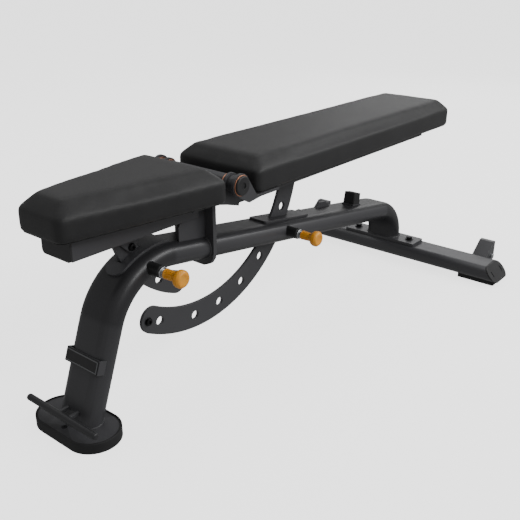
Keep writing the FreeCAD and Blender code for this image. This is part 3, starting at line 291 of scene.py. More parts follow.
@dataclass(frozen=True)
class Vinyl(Finish):
    """PVC-coated upholstery fabric with an embossed leather grain.

    The eye sees a soft broad sheen broken by small grain cells, a little paler where the cover is stretched.
    """

    name: str = "embossed_vinyl"
    slot: str = "upholstery"
    cell_mm: float = 2.4
    colour: str = "#1b1b1c"
    stretched: str = "#212122"

    def dress(self, tree: bpy.types.NodeTree, shader: bpy.types.Node, coords: bpy.types.NodeSocket) -> None:
        """Leather grain in relief with a soft sheen."""
        # the real grain is about 0.8 mm across; it is drawn three times coarser so that it shows
        warp = add_node(tree, "ShaderNodeTexNoise", {"Scale": per_metre(6.0), "Detail": 2.0}, {"Vector": coords})
        bent = add_node(tree, "ShaderNodeVectorMath", {"operation": "MULTIPLY_ADD"},
                        {"Vector": warp.outputs["Color"]})
        bent.inputs[1].default_value = (0.0016, 0.0016, 0.0016)
        tree.links.new(coords, bent.inputs[2])
        cells = add_node(tree, "ShaderNodeTexVoronoi", {"feature": "DISTANCE_TO_EDGE", "Scale": per_metre(self.cell_mm)},
                         {"Vector": bent.outputs["Vector"]})
        crease = ramp(tree, cells.outputs["Distance"], [(0.0, grey(0.0)), (0.16, grey(0.8)), (0.5, grey(1.0))])
        cloud = add_node(tree, "ShaderNodeTexNoise", {"Scale": per_metre(70.0), "Detail": 3.0}, {"Vector": coords})
        tone = ramp(tree, cloud.outputs["Fac"], [(0.35, linear(self.colour)), (0.7, linear(self.stretched))])
        tree.links.new(tone, shader.inputs["Base Color"])
        rough = add_node(tree, "ShaderNodeMapRange", {"To Min": 0.62, "To Max": 0.5}, {"Value": crease})
        tree.links.new(rough.outputs["Result"], shader.inputs["Roughness"])
        shader.inputs["IOR"].default_value = 1.5
        shader.inputs["Sheen Weight"].default_value = 0.08
        shader.inputs["Sheen Roughness"].default_value = 0.45
        bump = add_node(tree, "ShaderNodeBump", {"Strength": 0.55, "Distance": 0.16 * MM}, {"Height": crease})
        tree.links.new(bump.outputs["Normal"], shader.inputs["Normal"])


@dataclass(frozen=True)
class DustCover(Finish):
    """Spun-bonded polypropylene under a pad: a dull black felt with a pressed dot pattern."""

    name: str = "nonwoven_dust_cover"
    slot: str = "upholstery"

    def dress(self, tree: bpy.types.NodeTree, shader: bpy.types.Node, coords: bpy.types.NodeSocket) -> None:
        """Dull felt with pressed dots."""
        dots = add_node(tree, "ShaderNodeTexVoronoi", {"Scale": per_metre(2.5), "Randomness": 0.15}, {"Vector": coords})
        fibre = add_node(tree, "ShaderNodeTexNoise", {"Scale": per_metre(0.9), "Detail": 5.0}, {"Vector": coords})
        tone = ramp(tree, fibre.outputs["Fac"], [(0.3, linear("#131313")), (0.7, linear("#222222"))])
        tree.links.new(tone, shader.inputs["Base Color"])
        shader.inputs["Roughness"].default_value = 0.95
        bump = add_node(tree, "ShaderNodeBump", {"Strength": 0.8, "Distance": 0.2 * MM},
                        {"Height": dots.outputs["Distance"]})
        tree.links.new(bump.outputs["Normal"], shader.inputs["Normal"])


@dataclass(frozen=True)
class Rubber(Finish):
    """Moulded natural rubber: dead matt black with a faint bloom."""

    name: str = "moulded_rubber"
    slot: str = "rubber_black"
    colour: str = "#1f1f20"

    def dress(self, tree: bpy.types.NodeTree, shader: bpy.types.Node, coords: bpy.types.NodeSocket) -> None:
        """Matt black with bloom and a fine mould texture."""
        bloom = add_node(tree, "ShaderNodeTexNoise", {"Scale": per_metre(25.0), "Detail": 4.0}, {"Vector": coords})
        tone = ramp(tree, bloom.outputs["Fac"], [(0.35, linear(self.colour)), (0.75, linear("#2b2b2c"))])
        tree.links.new(tone, shader.inputs["Base Color"])
        rough = add_node(tree, "ShaderNodeMapRange", {"To Min": 0.66, "To Max": 0.82},
                         {"Value": bloom.outputs["Fac"]})
        tree.links.new(rough.outputs["Result"], shader.inputs["Roughness"])
        skin = add_node(tree, "ShaderNodeTexNoise", {"Scale": per_metre(0.9), "Detail": 2.0}, {"Vector": coords})
        soften(tree, shader, skin.outputs["Fac"], 0.06, 1.0)


@dataclass(frozen=True)
class MouldedNylon(Finish):
    """Glass-filled nylon, injection moulded in a spark-eroded tool: low sheen with a fine even texture."""

    name: str = "moulded_nylon"
    slot: str = "plastic_black"
    colour: str = "#232324"
    roughness: float = 0.5

    def dress(self, tree: bpy.types.NodeTree, shader: bpy.types.Node, coords: bpy.types.NodeSocket) -> None:
        """Low sheen with the tool's texture."""
        flow = add_node(tree, "ShaderNodeTexNoise", {"Scale": per_metre(18.0), "Detail": 3.0}, {"Vector": coords})
        tone = ramp(tree, flow.outputs["Fac"], [(0.35, linear(self.colour)), (0.75, linear("#2c2c2d"))])
        tree.links.new(tone, shader.inputs["Base Color"])
        rough = add_node(tree, "ShaderNodeMapRange", {"To Min": self.roughness - 0.05, "To Max": self.roughness + 0.06},
                         {"Value": flow.outputs["Fac"]})
        tree.links.new(rough.outputs["Result"], shader.inputs["Roughness"])
        spark = add_node(tree, "ShaderNodeTexVoronoi", {"Scale": per_metre(0.7)}, {"Vector": coords})
        soften(tree, shader, spark.outputs["Distance"], 0.04, 0.8)


@dataclass(frozen=True)
class OrangeAbs(Finish):
    """ABS coloured orange right through, moulded smooth: a clear gloss over a strong colour."""

    name: str = "orange_abs"
    slot: str = "knob_orange"

    def dress(self, tree: bpy.types.NodeTree, shader: bpy.types.Node, coords: bpy.types.NodeSocket) -> None:
        """Glossy orange with slight flow marks and finger haze."""
        flow = add_node(tree, "ShaderNodeTexNoise", {"Scale": per_metre(12.0), "Detail": 2.0}, {"Vector": coords})
        tone = ramp(tree, flow.outputs["Fac"], [(0.3, linear("#faa32c")), (0.7, linear("#ffb33c"))])
        tree.links.new(tone, shader.inputs["Base Color"])
        haze = add_node(tree, "ShaderNodeTexNoise", {"Scale": per_metre(5.0), "Detail": 4.0}, {"Vector": coords})
        rough = add_node(tree, "ShaderNodeMapRange", {"To Min": 0.3, "To Max": 0.42}, {"Value": haze.outputs["Fac"]})
        tree.links.new(rough.outputs["Result"], shader.inputs["Roughness"])
        shader.inputs["Subsurface Weight"].default_value = 0.04
        shader.inputs["Subsurface Scale"].default_value = 0.002
        soften(tree, shader, haze.outputs["Fac"], 0.02, 0.5)


@dataclass(frozen=True)
class SinteredBronze(Finish):
    """Oil-filled sintered bronze: warm, slightly porous metal with turned faces."""

    name: str = "sintered_bronze"
    slot: str = "bronze"

    def dress(self, tree: bpy.types.NodeTree, shader: bpy.types.Node, coords: bpy.types.NodeSocket) -> None:
        """Warm metal with pores."""
        pores = add_node(tree, "ShaderNodeTexNoise", {"Scale": per_metre(0.8), "Detail": 4.0}, {"Vector": coords})
        tone = ramp(tree, pores.outputs["Fac"], [(0.35, linear("#cf8a68")), (0.65, linear("#f0b394"))])
        tree.links.new(tone, shader.inputs["Base Color"])
        rough = add_node(tree, "ShaderNodeMapRange", {"To Min": 0.4, "To Max": 0.3}, {"Value": pores.outputs["Fac"]})
        tree.links.new(rough.outputs["Result"], shader.inputs["Roughness"])
        shader.inputs["Metallic"].default_value = 1.0
        soften(tree, shader, pores.outputs["Fac"], 0.03, 0.4)


@dataclass(frozen=True)
class ZincPlate(Finish):
    """Bright zinc on turned steel: cool silver with fine rings from the lathe."""

    name: str = "zinc_plated_steel"
    slot: str = "steel_bright"

    def dress(self, tree: bpy.types.NodeTree, shader: bpy.types.Node, coords: bpy.types.NodeSocket) -> None:
        """Turned silver metal."""
        # lathe rings run round the Y axis, about 0.2 mm apart in life and drawn at 0.6 mm so that they show
        rings = add_node(tree, "ShaderNodeTexWave", {"bands_direction": "Y", "Scale": per_metre(0.6) / 20,
                                                     "Distortion": 0.4}, {"Vector": coords})
        cloud = add_node(tree, "ShaderNodeTexNoise", {"Scale": per_metre(7.0), "Detail": 3.0}, {"Vector": coords})
        tone = ramp(tree, cloud.outputs["Fac"], [(0.3, linear("#a9abad")), (0.7, linear("#c9cbcc"))])
        tree.links.new(tone, shader.inputs["Base Color"])
        rough = add_node(tree, "ShaderNodeMapRange", {"To Min": 0.24, "To Max": 0.38}, {"Value": rings.outputs["Fac"]})
        tree.links.new(rough.outputs["Result"], shader.inputs["Roughness"])
        shader.inputs["Metallic"].default_value = 1.0
        soften(tree, shader, rings.outputs["Fac"], 0.01, 0.4)


@dataclass(frozen=True)
class BlackOxide(Finish):
    """Hot black oxide on forged steel bolts: a dark oily metal, brighter on its corners."""

    name: str = "black_oxide_steel"
    slot: str = "fastener_dark"

    def dress(self, tree: bpy.types.NodeTree, shader: bpy.types.Node, coords: bpy.types.NodeSocket) -> None:
        """Dark metal with an oil film."""
        film = add_node(tree, "ShaderNodeTexNoise", {"Scale": per_metre(4.0), "Detail": 4.0}, {"Vector": coords})
        tone = ramp(tree, film.outputs["Fac"], [(0.3, linear("#242425")), (0.75, linear("#363638"))])
        tree.links.new(tone, shader.inputs["Base Color"])
        rough = add_node(tree, "ShaderNodeMapRange", {"To Min": 0.3, "To Max": 0.45}, {"Value": film.outputs["Fac"]})
        tree.links.new(rough.outputs["Result"], shader.inputs["Roughness"])
        shader.inputs["Metallic"].default_value = 0.85
        soften(tree, shader, film.outputs["Fac"], 0.02, 0.6)


@dataclass(frozen=True)
class Plywood(Finish):
    """Sanded birch plywood: pale face grain along the board, with dark glue lines in its edge."""

    name: str = "birch_plywood"
    slot: str = "board"

    def dress(self, tree: bpy.types.NodeTree, shader: bpy.types.Node, coords: bpy.types.NodeSocket) -> None:
        """Face grain and ply lines."""
        stretch = add_node(tree, "ShaderNodeMapping", {"Scale": (0.08, 1.0, 1.0)}, {"Vector": coords})
        grain = add_node(tree, "ShaderNodeTexNoise", {"Scale": per_metre(3.0), "Detail": 6.0},
                         {"Vector": stretch.outputs["Vector"]})
        tone = ramp(tree, grain.outputs["Fac"], [(0.3, linear("#a58457")), (0.7, linear("#d0b184"))])
        # plies are 1.4 mm thick
        plies = add_node(tree, "ShaderNodeTexWave", {"bands_direction": "Z", "Scale": per_metre(1.4) / 20},
                         {"Vector": coords})
        glue = ramp(tree, plies.outputs["Fac"], [(0.0, grey(0.55)), (0.3, grey(1.0))])
        mixed = add_node(tree, "ShaderNodeMix", {"data_type": "RGBA", "blend_type": "MULTIPLY"})
        mixed.inputs[0].default_value = 0.5
        tree.links.new(tone, mixed.inputs[6])
        tree.links.new(glue, mixed.inputs[7])
        tree.links.new(mixed.outputs[2], shader.inputs["Base Color"])
        shader.inputs["Roughness"].default_value = 0.65
        soften(tree, shader, grain.outputs["Fac"], 0.05, 0.5)


@dataclass(frozen=True)
class SatinAluminium(Finish):
    """Bead-blasted and anodised aluminium for the badge: soft even grey metal."""

    name: str = "anodised_aluminium"
    slot: str = "plastic_black"

    def dress(self, tree: bpy.types.NodeTree, shader: bpy.types.Node, coords: bpy.types.NodeSocket) -> None:
        """Blasted grey metal."""
        blast = add_node(tree, "ShaderNodeTexNoise", {"Scale": per_metre(0.6), "Detail": 2.0}, {"Vector": coords})
        tone = ramp(tree, blast.outputs["Fac"], [(0.3, linear("#6f7072")), (0.7, linear("#828385"))])
        tree.links.new(tone, shader.inputs["Base Color"])
        rough = add_node(tree, "ShaderNodeMapRange", {"To Min": 0.38, "To Max": 0.5}, {"Value": blast.outputs["Fac"]})
        tree.links.new(rough.outputs["Result"], shader.inputs["Roughness"])
        shader.inputs["Metallic"].default_value = 0.8
        soften(tree, shader, blast.outputs["Fac"], 0.03, 0.5)


POWDER = PowderCoat()
VINYL = Vinyl()
FELT = DustCover()
RUBBER = Rubber()
NYLON = MouldedNylon()
ORANGE = OrangeAbs()
BRONZE = SinteredBronze()
ZINC = ZincPlate()
OXIDE = BlackOxide()
PLY = Plywood()
ALUMINIUM = SatinAluminium()


# ---------------------------------------------------------------------------
# Mesh helpers
# ---------------------------------------------------------------------------

def crease_edges(mesh: bpy.types.Mesh, angle_deg: float) -> None:
    """Shade a mesh smooth, with edges sharper than the angle kept crisp.

    Args:
        mesh: the mesh.
        angle_deg: edges between faces that turn more than this stay crisp.
    """
    work = bmesh.new()
    work.from_mesh(mesh)
    for face in work.faces:
        face.smooth = True
    for edge in work.edges:
        turn = edge.calc_face_angle(0.0)
        edge.smooth = turn < math.radians(angle_deg)
    work.to_mesh(mesh)
    work.free()


def new_piece(name: str, work: bmesh.types.BMesh, body: Body, finish: Finish,
              crease_deg: float = 35.0) -> bpy.types.Object:
    """Turn a bmesh into a finished piece that rides on a body.

    Args:
        name: the piece's name.
        work: its mesh, in the bench's frame; it is freed.
        body: the body that it moves with.
        finish: its finish.
        crease_deg: edges that turn more than this stay crisp.

    Returns:
        The object.
    """
    bmesh.ops.remove_doubles(work, verts=work.verts, dist=1e-6)
    bmesh.ops.recalc_face_normals(work, faces=work.faces)
    mesh = bpy.data.meshes.new(name)
    work.to_mesh(mesh)
    work.free()
    crease_edges(mesh, crease_deg)
    piece = bpy.data.objects.new(name, mesh)
    bpy.context.collection.objects.link(piece)
    piece.data.materials.append(finish.material())
    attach(piece, body.value)
    return piece


def add_rings(work: bmesh.types.BMesh, rings: Sequence[Sequence[Vector]], cap: bool = True,
              loop: bool = False) -> None:
    """Skin a row of closed rings that all have the same number of points.

    Args:
        work: the mesh to add to.
        rings: the rings in order.
        cap: close the first and the last ring.
        loop: join the last ring to the first instead.
    """
    rows = [[work.verts.new(p) for p in ring] for ring in rings]
    pairs = list(zip(rows, rows[1:])) + ([(rows[-1], rows[0])] if loop else [])
    for a, b in pairs:
        for i in range(len(a)):
            j = (i + 1) % len(a)
            work.faces.new((a[i], a[j], b[j], b[i]))
    if cap and not loop:
        work.faces.new(list(reversed(rows[0])))
        work.faces.new(rows[-1])


def add_lathe(work: bmesh.types.BMesh, profile: Sequence[Point], centre: Vector, axis: Vector,
              segments: int = 48, radius_at: Callable[[float, float, float], float] | None = None) -> None:
    """Add a turned solid.

    Args:
        work: the mesh to add to.
        profile: (distance along the axis, radius) points.
        centre: where the axis distance is 0.
        axis: the turning axis.
        segments: steps round it.
        radius_at: optional change of radius, from (distance, radius, angle).
    """
    along = axis.normalized()
    side = along.orthogonal().normalized()
    up = along.cross(side)
    rings = []
    for t, r in profile:
        ring = []
        for k in range(segments):
            a = 2 * math.pi * k / segments
            reach = radius_at(t, r, a) if radius_at else r
            ring.append(centre + along * t + (side * math.cos(a) + up * math.sin(a)) * reach)
        rings.append(ring)
    add_rings(work, rings)


def add_tube(work: bmesh.types.BMesh, path: Sequence[Vector], radius_at: Callable[[float], float],
             closed: bool = False, sides: int = 10) -> None:
    """Add a round tube along a path.

    Args:
        work: the mesh to add to.
        path: points along it.
        radius_at: radius from the distance travelled.
        closed: the path's end meets its start.
        sides: steps round the tube.
    """
    count = len(path)
    rings = []
    run = 0.0
    up = None
    for i, point in enumerate(path):
        before = path[i - 1] if closed or i > 0 else point
        after = path[(i + 1) % count] if closed or i < count - 1 else point
        ahead = (after - before).normalized()
        if i > 0:
            run += (point - path[i - 1]).length
        seed = up if up is not None else ahead.orthogonal()
        up = (seed - ahead * seed.dot(ahead)).normalized()
        side = ahead.cross(up)
        r = radius_at(run)
        turns = [2 * math.pi * k / sides for k in range(sides)]
        rings.append([point + (up * math.cos(a) + side * math.sin(a)) * r for a in turns])
    add_rings(work, rings, cap=not closed, loop=closed)


def resample(path: Sequence[Vector], step: float, closed: bool = False) -> list[Vector]:
    """Even points along a path.

    Args:
        path: its corner points.
        step: distance between the new points.
        closed: the path's end meets its start.

    Returns:
        The new points.
    """
    points = list(path) + ([path[0]] if closed else [])
    lengths = [(b - a).length for a, b in zip(points, points[1:])]
    total = sum(lengths)
    count = max(int(total / step), 3)
    out = []
    for k in range(count + (0 if closed else 1)):
        goal = total * k / count
        i = 0
        while i < len(lengths) - 1 and goal > lengths[i]:
            goal -= lengths[i]
            i += 1
        out.append(points[i].lerp(points[i + 1], min(goal / lengths[i], 1.0)))
    return out


def rounded_plan(corners: Sequence[Point], radii: Sequence[float], inset: float, steps: int = 8) -> list[Point]:
    """Outline of a convex plan, moved inward, with round corners.

    Args:
        corners: the plan's corners, anticlockwise.
        radii: radius of each corner.
        inset: how far to move the outline inward.
        steps: points round each corner.

    Returns:
        Points round the outline, always the same number.
    """
    count = len(corners)
    moved = []
    for i in range(count):
        a, b, c = (Vector(corners[(i + k) % count]) for k in (-1, 0, 1))
        n1 = Vector((a.y - b.y, b.x - a.x)).normalized()
        n2 = Vector((b.y - c.y, c.x - b.x)).normalized()
        moved.append(b + (n1 + n2) * (inset / (1 + n1.dot(n2))))
    out = []
    for i in range(count):
        a, b, c = (moved[(i + k) % count] for k in (-1, 0, 1))
        d1, d2 = (a - b).normalized(), (c - b).normalized()
        half = math.acos(max(-1.0, min(1.0, d1.dot(d2)))) / 2
        r = max(radii[i] - inset * 0.5, 0.003)
        p, q = b + d1 * (r / math.tan(half)), b + d2 * (r / math.tan(half))
        hub = b + (d1 + d2).normalized() * (r / math.sin(half))
        u, v = (p - hub).normalized(), (q - hub).normalized()
        sweep = u.angle_signed(v)
        for k in range(steps + 1):
            spin = Matrix.Rotation(-sweep * k / steps, 2)
            w = hub + (spin @ u) * r
            out.append((w.x, w.y))
    return out


# ---------------------------------------------------------------------------
# Upholstery
# ---------------------------------------------------------------------------

@dataclass
class Pad:
    """A firm bevelled foam pad in a stretched vinyl cover, with its hem and staples underneath.

    Lengths are measured from the pivot, in metres, with the pad level; tilt_deg then turns it about the pivot.
    """

    node: str
    body: Body
    front: float
    rear: float
    front_half: float
    rear_half: float
    bottom: float
    top: float
    tilt_deg: float
    front_corner: float
    rear_corner: float
    bevel: float = 29 * MM
    drop: float = 24 * MM
    voxel: float = 5 * MM
    shrink: float = 0.8 * MM
    swell_cap: float = 4.5 * MM
    foot_hold: float = 14 * MM
    even_rounds: int = 12
    hem: float = 26 * MM
    hem_thick: float = 0.8 * MM
    felt_lap: float = 0.12 * MM
    staple_gap: float = 32 * MM

    def corners(self) -> list[Point]:
        """Plan corners, anticlockwise."""
        return [(self.front, -self.front_half), (self.rear, -self.rear_half),
                (self.rear, self.rear_half), (self.front, self.front_half)]

    def radii(self) -> list[float]:
        """Corner radii in the same order."""
        return [self.front_corner, self.rear_corner, self.rear_corner, self.front_corner]

    def settle(self, point: Vector) -> Vector:
        """Turn a level point about the pivot and place it in the bench's frame."""
        return Matrix.Rotation(math.radians(self.tilt_deg), 3, "Y") @ point + PIVOT

    def ring(self, inset: float, height: float) -> list[Vector]:
        """Outline points at an inset and a height above the pivot, level."""
        plan = rounded_plan(self.corners(), self.radii(), inset)
        return [Vector((x, y, height)) for x, y in plan]

    def core(self) -> bpy.types.Object:
        """The pad before it swells: a little smaller than the finished pad, level, about the pivot."""
        s = self.shrink
        foot = self.bottom - self.felt_lap
        levels = [(s + 4 * MM, foot), (s + 1.2 * MM, foot + 1.6 * MM), (s, foot + 5 * MM),
                  (s, self.top - self.drop), (s + self.bevel, self.top - s), (s + self.bevel + 6 * MM, self.top - s)]
        work = bmesh.new()
        add_rings(work, [self.ring(inset, height) for inset, height in levels])
        mesh = bpy.data.meshes.new(self.node + "_cover")
        work.to_mesh(mesh)
        work.free()
        cover = bpy.data.objects.new(self.node + "_cover", mesh)
        bpy.context.collection.objects.link(cover)
        return cover

    def swell(self, cover: bpy.types.Object) -> None:
        """Stretch the cover over its foam: remesh, inflate as cloth, cap the movement and keep the foot flat.

        Args:
            cover: the level pad, whose mesh is replaced.
        """
        remesh = cover.modifiers.new("even", "REMESH")
        remesh.mode = "VOXEL"
        remesh.voxel_size = self.voxel
        self.bake(cover)
        start = [(v.co.copy(), v.normal.copy()) for v in cover.data.vertices]
        cloth = cover.modifiers.new("inflate", "CLOTH")
        cloth.settings.quality = 5
        cloth.settings.tension_stiffness = 25
        cloth.settings.compression_stiffness = 25
        cloth.settings.shear_stiffness = 12
        cloth.settings.bending_stiffness = 2
        cloth.settings.use_pressure = True
        cloth.settings.uniform_pressure_force = 4
        cloth.settings.effector_weights.gravity = 0
        scene = bpy.context.scene
        for step in range(1, 21):
            scene.frame_set(step)
        self.bake(cover)
        scene.frame_set(1)
        self.settle_swell(cover, start)

    def settle_swell(self, cover: bpy.types.Object, start: Sequence[tuple[Vector, Vector]]) -> None:
        """Keep the swelling outward, capped and even, with none of it at the stapled foot.

        Args:
            cover: the inflated cover.
            start: each point's place and normal before it swelled.
        """
        foot = self.bottom - self.felt_lap
        proud = []
        for vertex, (home, normal) in zip(cover.data.vertices, start):
            out = min(max((vertex.co - home).dot(normal), 0.0), self.swell_cap)
            free = min(max((home.z - foot - 1 * MM) / self.foot_hold, 0.0), 1.0)
            proud.append(out * free * free * (3 - 2 * free))
        near: list[list[int]] = [[] for _ in proud]
        for edge in cover.data.edges:
            first, second = edge.vertices
            near[first].append(second)
            near[second].append(first)
        for _ in range(self.even_rounds):
            proud = [0.5 * p + 0.5 * sum(proud[k] for k in n) / len(n) for p, n in zip(proud, near)]
        for vertex, (home, normal), out in zip(cover.data.vertices, start, proud):
            vertex.co = home + normal * out
            if home.z < foot + 1 * MM:
                vertex.co.z = home.z

    def bake(self, cover: bpy.types.Object) -> None:
        """Apply all the modifiers of an object."""
        graph = bpy.context.evaluated_depsgraph_get()
        graph.update()
        mesh = bpy.data.meshes.new_from_object(cover.evaluated_get(graph))
        cover.modifiers.clear()
        cover.data = mesh

    def relax(self, cover: bpy.types.Object, rounds: int) -> None:
        """Even out the cover without losing its bevels.

        Args:
            cover: the pad.
            rounds: smoothing passes.
        """
        work = bmesh.new()
        work.from_mesh(cover.data)
        for _ in range(rounds):
            bmesh.ops.smooth_vert(work, verts=work.verts, factor=0.35, use_axis_x=True, use_axis_y=True,
                                  use_axis_z=True)
        work.to_mesh(cover.data)
        work.free()

    def cover(self) -> bpy.types.Object:
        """Build the finished cover."""
        cover = self.core()
        self.swell(cover)
        self.relax(cover, 3)
        smooth = cover.modifiers.new("fine", "SUBSURF")
        smooth.levels = smooth.render_levels = 1
        self.bake(cover)
        for vertex in cover.data.vertices:
            vertex.co = self.settle(vertex.co)
        cover.data.name = self.node + "_cover"
        for polygon in cover.data.polygons:
            polygon.use_smooth = True
        cover.data.materials.clear()
        cover.data.materials.append(VINYL.material())
        cover.data.materials.append(FELT.material())
        self.face_underside(cover)
        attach(cover, self.body.value)
        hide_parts(self.node)
        return cover

    def face_underside(self, cover: bpy.types.Object) -> None:
        """Give the flat underside its dust cover, up to under the hem."""
        foot = self.bottom - self.felt_lap
        level = Matrix.Rotation(math.radians(-self.tilt_deg), 3, "Y")
        for polygon in cover.data.polygons:
            place = level @ (polygon.center - PIVOT)
            flat = place.z < foot + 0.6 * MM and (level @ polygon.normal).z < -0.95
            polygon.material_index = 1 if flat else 0

    def hem_strip(self) -> bpy.types.Object:
        """The cover's edge, folded under the board and stapled."""
        work = bmesh.new()
        low, high = self.bottom - self.hem_thick, self.bottom + 0.3 * MM
        rings = [self.ring(5 * MM, high), self.ring(5.5 * MM, low), self.ring(self.hem - 1 * MM, low),
                 self.ring(self.hem, high)]
        add_rings(work, [[self.settle(p) for p in ring] for ring in rings], cap=False, loop=True)
        return new_piece(self.node + "_hem", work, self.body, VINYL)

    def staples(self) -> bpy.types.Object:
        """Wire staples that hold the hem."""
        work = bmesh.new()
        lane = resample(self.ring(self.hem - 8 * MM, self.bottom - self.hem_thick - 0.35 * MM), self.staple_gap, closed=True)
        for i, point in enumerate(lane):
            ahead = (lane[(i + 1) % len(lane)] - lane[i - 1]).normalized()
            half = ahead * 5 * MM
            sunk = Vector((0, 0, 1.2 * MM))
            path = [point - half + sunk, point - half, point + half, point + half + sunk]
            add_tube(work, [self.settle(p) for p in path], lambda run: 0.45 * MM, sides=6)
        return new_piece(self.node + "_staples", work, self.body, ZINC)

    def build(self) -> None:
        """Build the cover, its hem and its staples."""
        self.cover()
        self.hem_strip()
        self.staples()


# ---------------------------------------------------------------------------
# Welded frame
# ---------------------------------------------------------------------------

@dataclass
class Spine:
    """Sizes of the spine's flat-oval tube, and the weld beads that join plates to it."""

    flat_half: float = 25 * MM
    radius: float = 25 * MM
    run_slope_deg: float = 9.25
    run_below_pivot: float = 151.7 * MM
    leg_lean_deg: float = 20.5
    leg_foot_ahead: float = 349.7 * MM
    foot_rise: float = 22 * MM
    neck_behind: float = 803 * MM
    bead: float = 2.6 * MM
    ripple: float = 3.4 * MM

    def section(self, centre: Vector, half_depth: float, depth_axis: Vector, points: int = 72) -> list[Vector]:
        """Points round the tube's section on a cutting plane.

        Args:
            centre: the section's centre.
            half_depth: half its depth on that plane.
            depth_axis: direction of the depth.
            points: how many points.

        Returns:
            The loop's points.
        """
        loop = []
        stretch = half_depth / self.radius
        for k in range(points):
            a = 2 * math.pi * k / points
            y = self.radius * math.cos(a)
            y += self.flat_half if y >= 0 else -self.flat_half
            loop.append(centre + Vector((0, y, 0)) + depth_axis * (self.radius * stretch * math.sin(a)))
        return loop

    def weld(self, name: str, paths: Iterable[Sequence[Vector]], body: Body = Body.BASE, closed: bool = False,
             size: float | None = None) -> bpy.types.Object:
        """A rippled weld bead along each path.

        Args:
            name: the piece's name.
            paths: the seams.
            body: the body that it rides on.
            closed: each seam meets its own start.
            size: the bead's radius.

        Returns:
            The piece.
        """
        reach = size or self.bead
        work = bmesh.new()
        for path in paths:
            fine = resample(path, self.ripple / 5, closed)
            add_tube(work, fine, lambda run: reach * (0.9 + 0.1 * abs(math.sin(math.pi * run / self.ripple))),
                     closed=closed, sides=8)
        return new_piece(name, work, body, POWDER, crease_deg=80.0)

    def foot_seam(self) -> list[Vector]:
        """Seam between the leg and the foot plate."""
        plate_top = box_of("front_foot_plate")[1].z
        lean = math.radians(self.leg_lean_deg)
        x = PIVOT.x - self.leg_foot_ahead + (plate_top - self.foot_rise) * math.tan(lean)
        return self.section(Vector((x, 0, plate_top)), self.radius / math.cos(lean), Vector((1, 0, 0)))

    def neck_seam(self) -> list[Vector]:
        """Seam between the gooseneck and the base plate."""
        plate_top = box_of("rear_base_plate")[1].z
        return self.section(Vector((PIVOT.x + self.neck_behind, 0, plate_top)), self.radius, Vector((1, 0, 0)))

    def run_height(self, x: float) -> float:
        """Height of the run's centre line at a place along X."""
        return PIVOT.z - self.run_below_pivot - (x - PIVOT.x) * math.tan(math.radians(self.run_slope_deg))

    def mast_seams(self) -> list[list[Vector]]:
        """Seams round the tube on both faces of the mast plate."""
        low, high = box_of("mast_plate")
        half = self.radius / math.cos(math.radians(self.run_slope_deg))
        return [self.section(Vector((x, 0, self.run_height(x))), half, Vector((0, 0, 1))) for x in (low.x, high.x)]

    def gusset_seams(self) -> list[list[Vector]]:
        """Seam along the foot of the gusset on the tube's round side."""
        low, high = box_of("mast_gusset")
        return [[Vector((x, low.y + 0.5 * MM, self.run_height(x) + 3 * MM)) for x in (low.x + 2 * MM, high.x - 1 * MM)]]

    def pivot_seams(self) -> list[list[Vector]]:
        """Seams round the pivot tube's lower half on both faces of the mast plate."""
        low, high = box_of("mast_plate")
        radius = (box_of("pivot_tube")[1].z - box_of("pivot_tube")[0].z) / 2
        paths = []
        for face in (low.x, high.x):
            if abs(face - PIVOT.x) >= radius:
                continue
            z = PIVOT.z - math.sqrt(radius ** 2 - (face - PIVOT.x) ** 2)
            paths += [[Vector((face, side * 4 * MM, z)), Vector((face, side * (high.y - 6 * MM), z))]
                      for side in (-1, 1)]
        return paths

    def handle_seams(self) -> list[list[Vector]]:
        """Seams between the lifting bar and its tabs."""
        low, high = box_of("handle_bar")
        centre = (low + high) / 2
        radius = (high.z - low.z) / 2
        tab_half = 3 * MM
        tab = (box_of("handle_tabs")[1].y) - tab_half
        paths = []
        for side in (-1, 1):
            for face in (-1, 1):
                y = side * tab + face * tab_half
                arc = [math.radians(a) for a in range(-75, 16, 15)]
                paths.append([centre * 1.0 + Vector((radius * math.cos(a), y - centre.y, radius * math.sin(a)))
                              for a in arc])
        return paths

    def build(self) -> None:
        """Lay every weld bead on the base."""
        self.weld("weld_foot", [self.foot_seam()], closed=True)
        self.weld("weld_neck", [self.neck_seam()], closed=True, size=3.0 * MM)
        self.weld("weld_mast", self.mast_seams(), closed=True)
        self.weld("weld_gussets", self.gusset_seams(), size=2.2 * MM)
        self.weld("weld_pivot_tube", self.pivot_seams(), size=2.2 * MM)
        self.weld("weld_handle", self.handle_seams(), size=1.5 * MM)


# ---------------------------------------------------------------------------
# Fasteners
# ---------------------------------------------------------------------------

class Drive(Enum):
    """How a bolt's head is turned."""

    HEX = "hex"
    SOCKET = "socket"


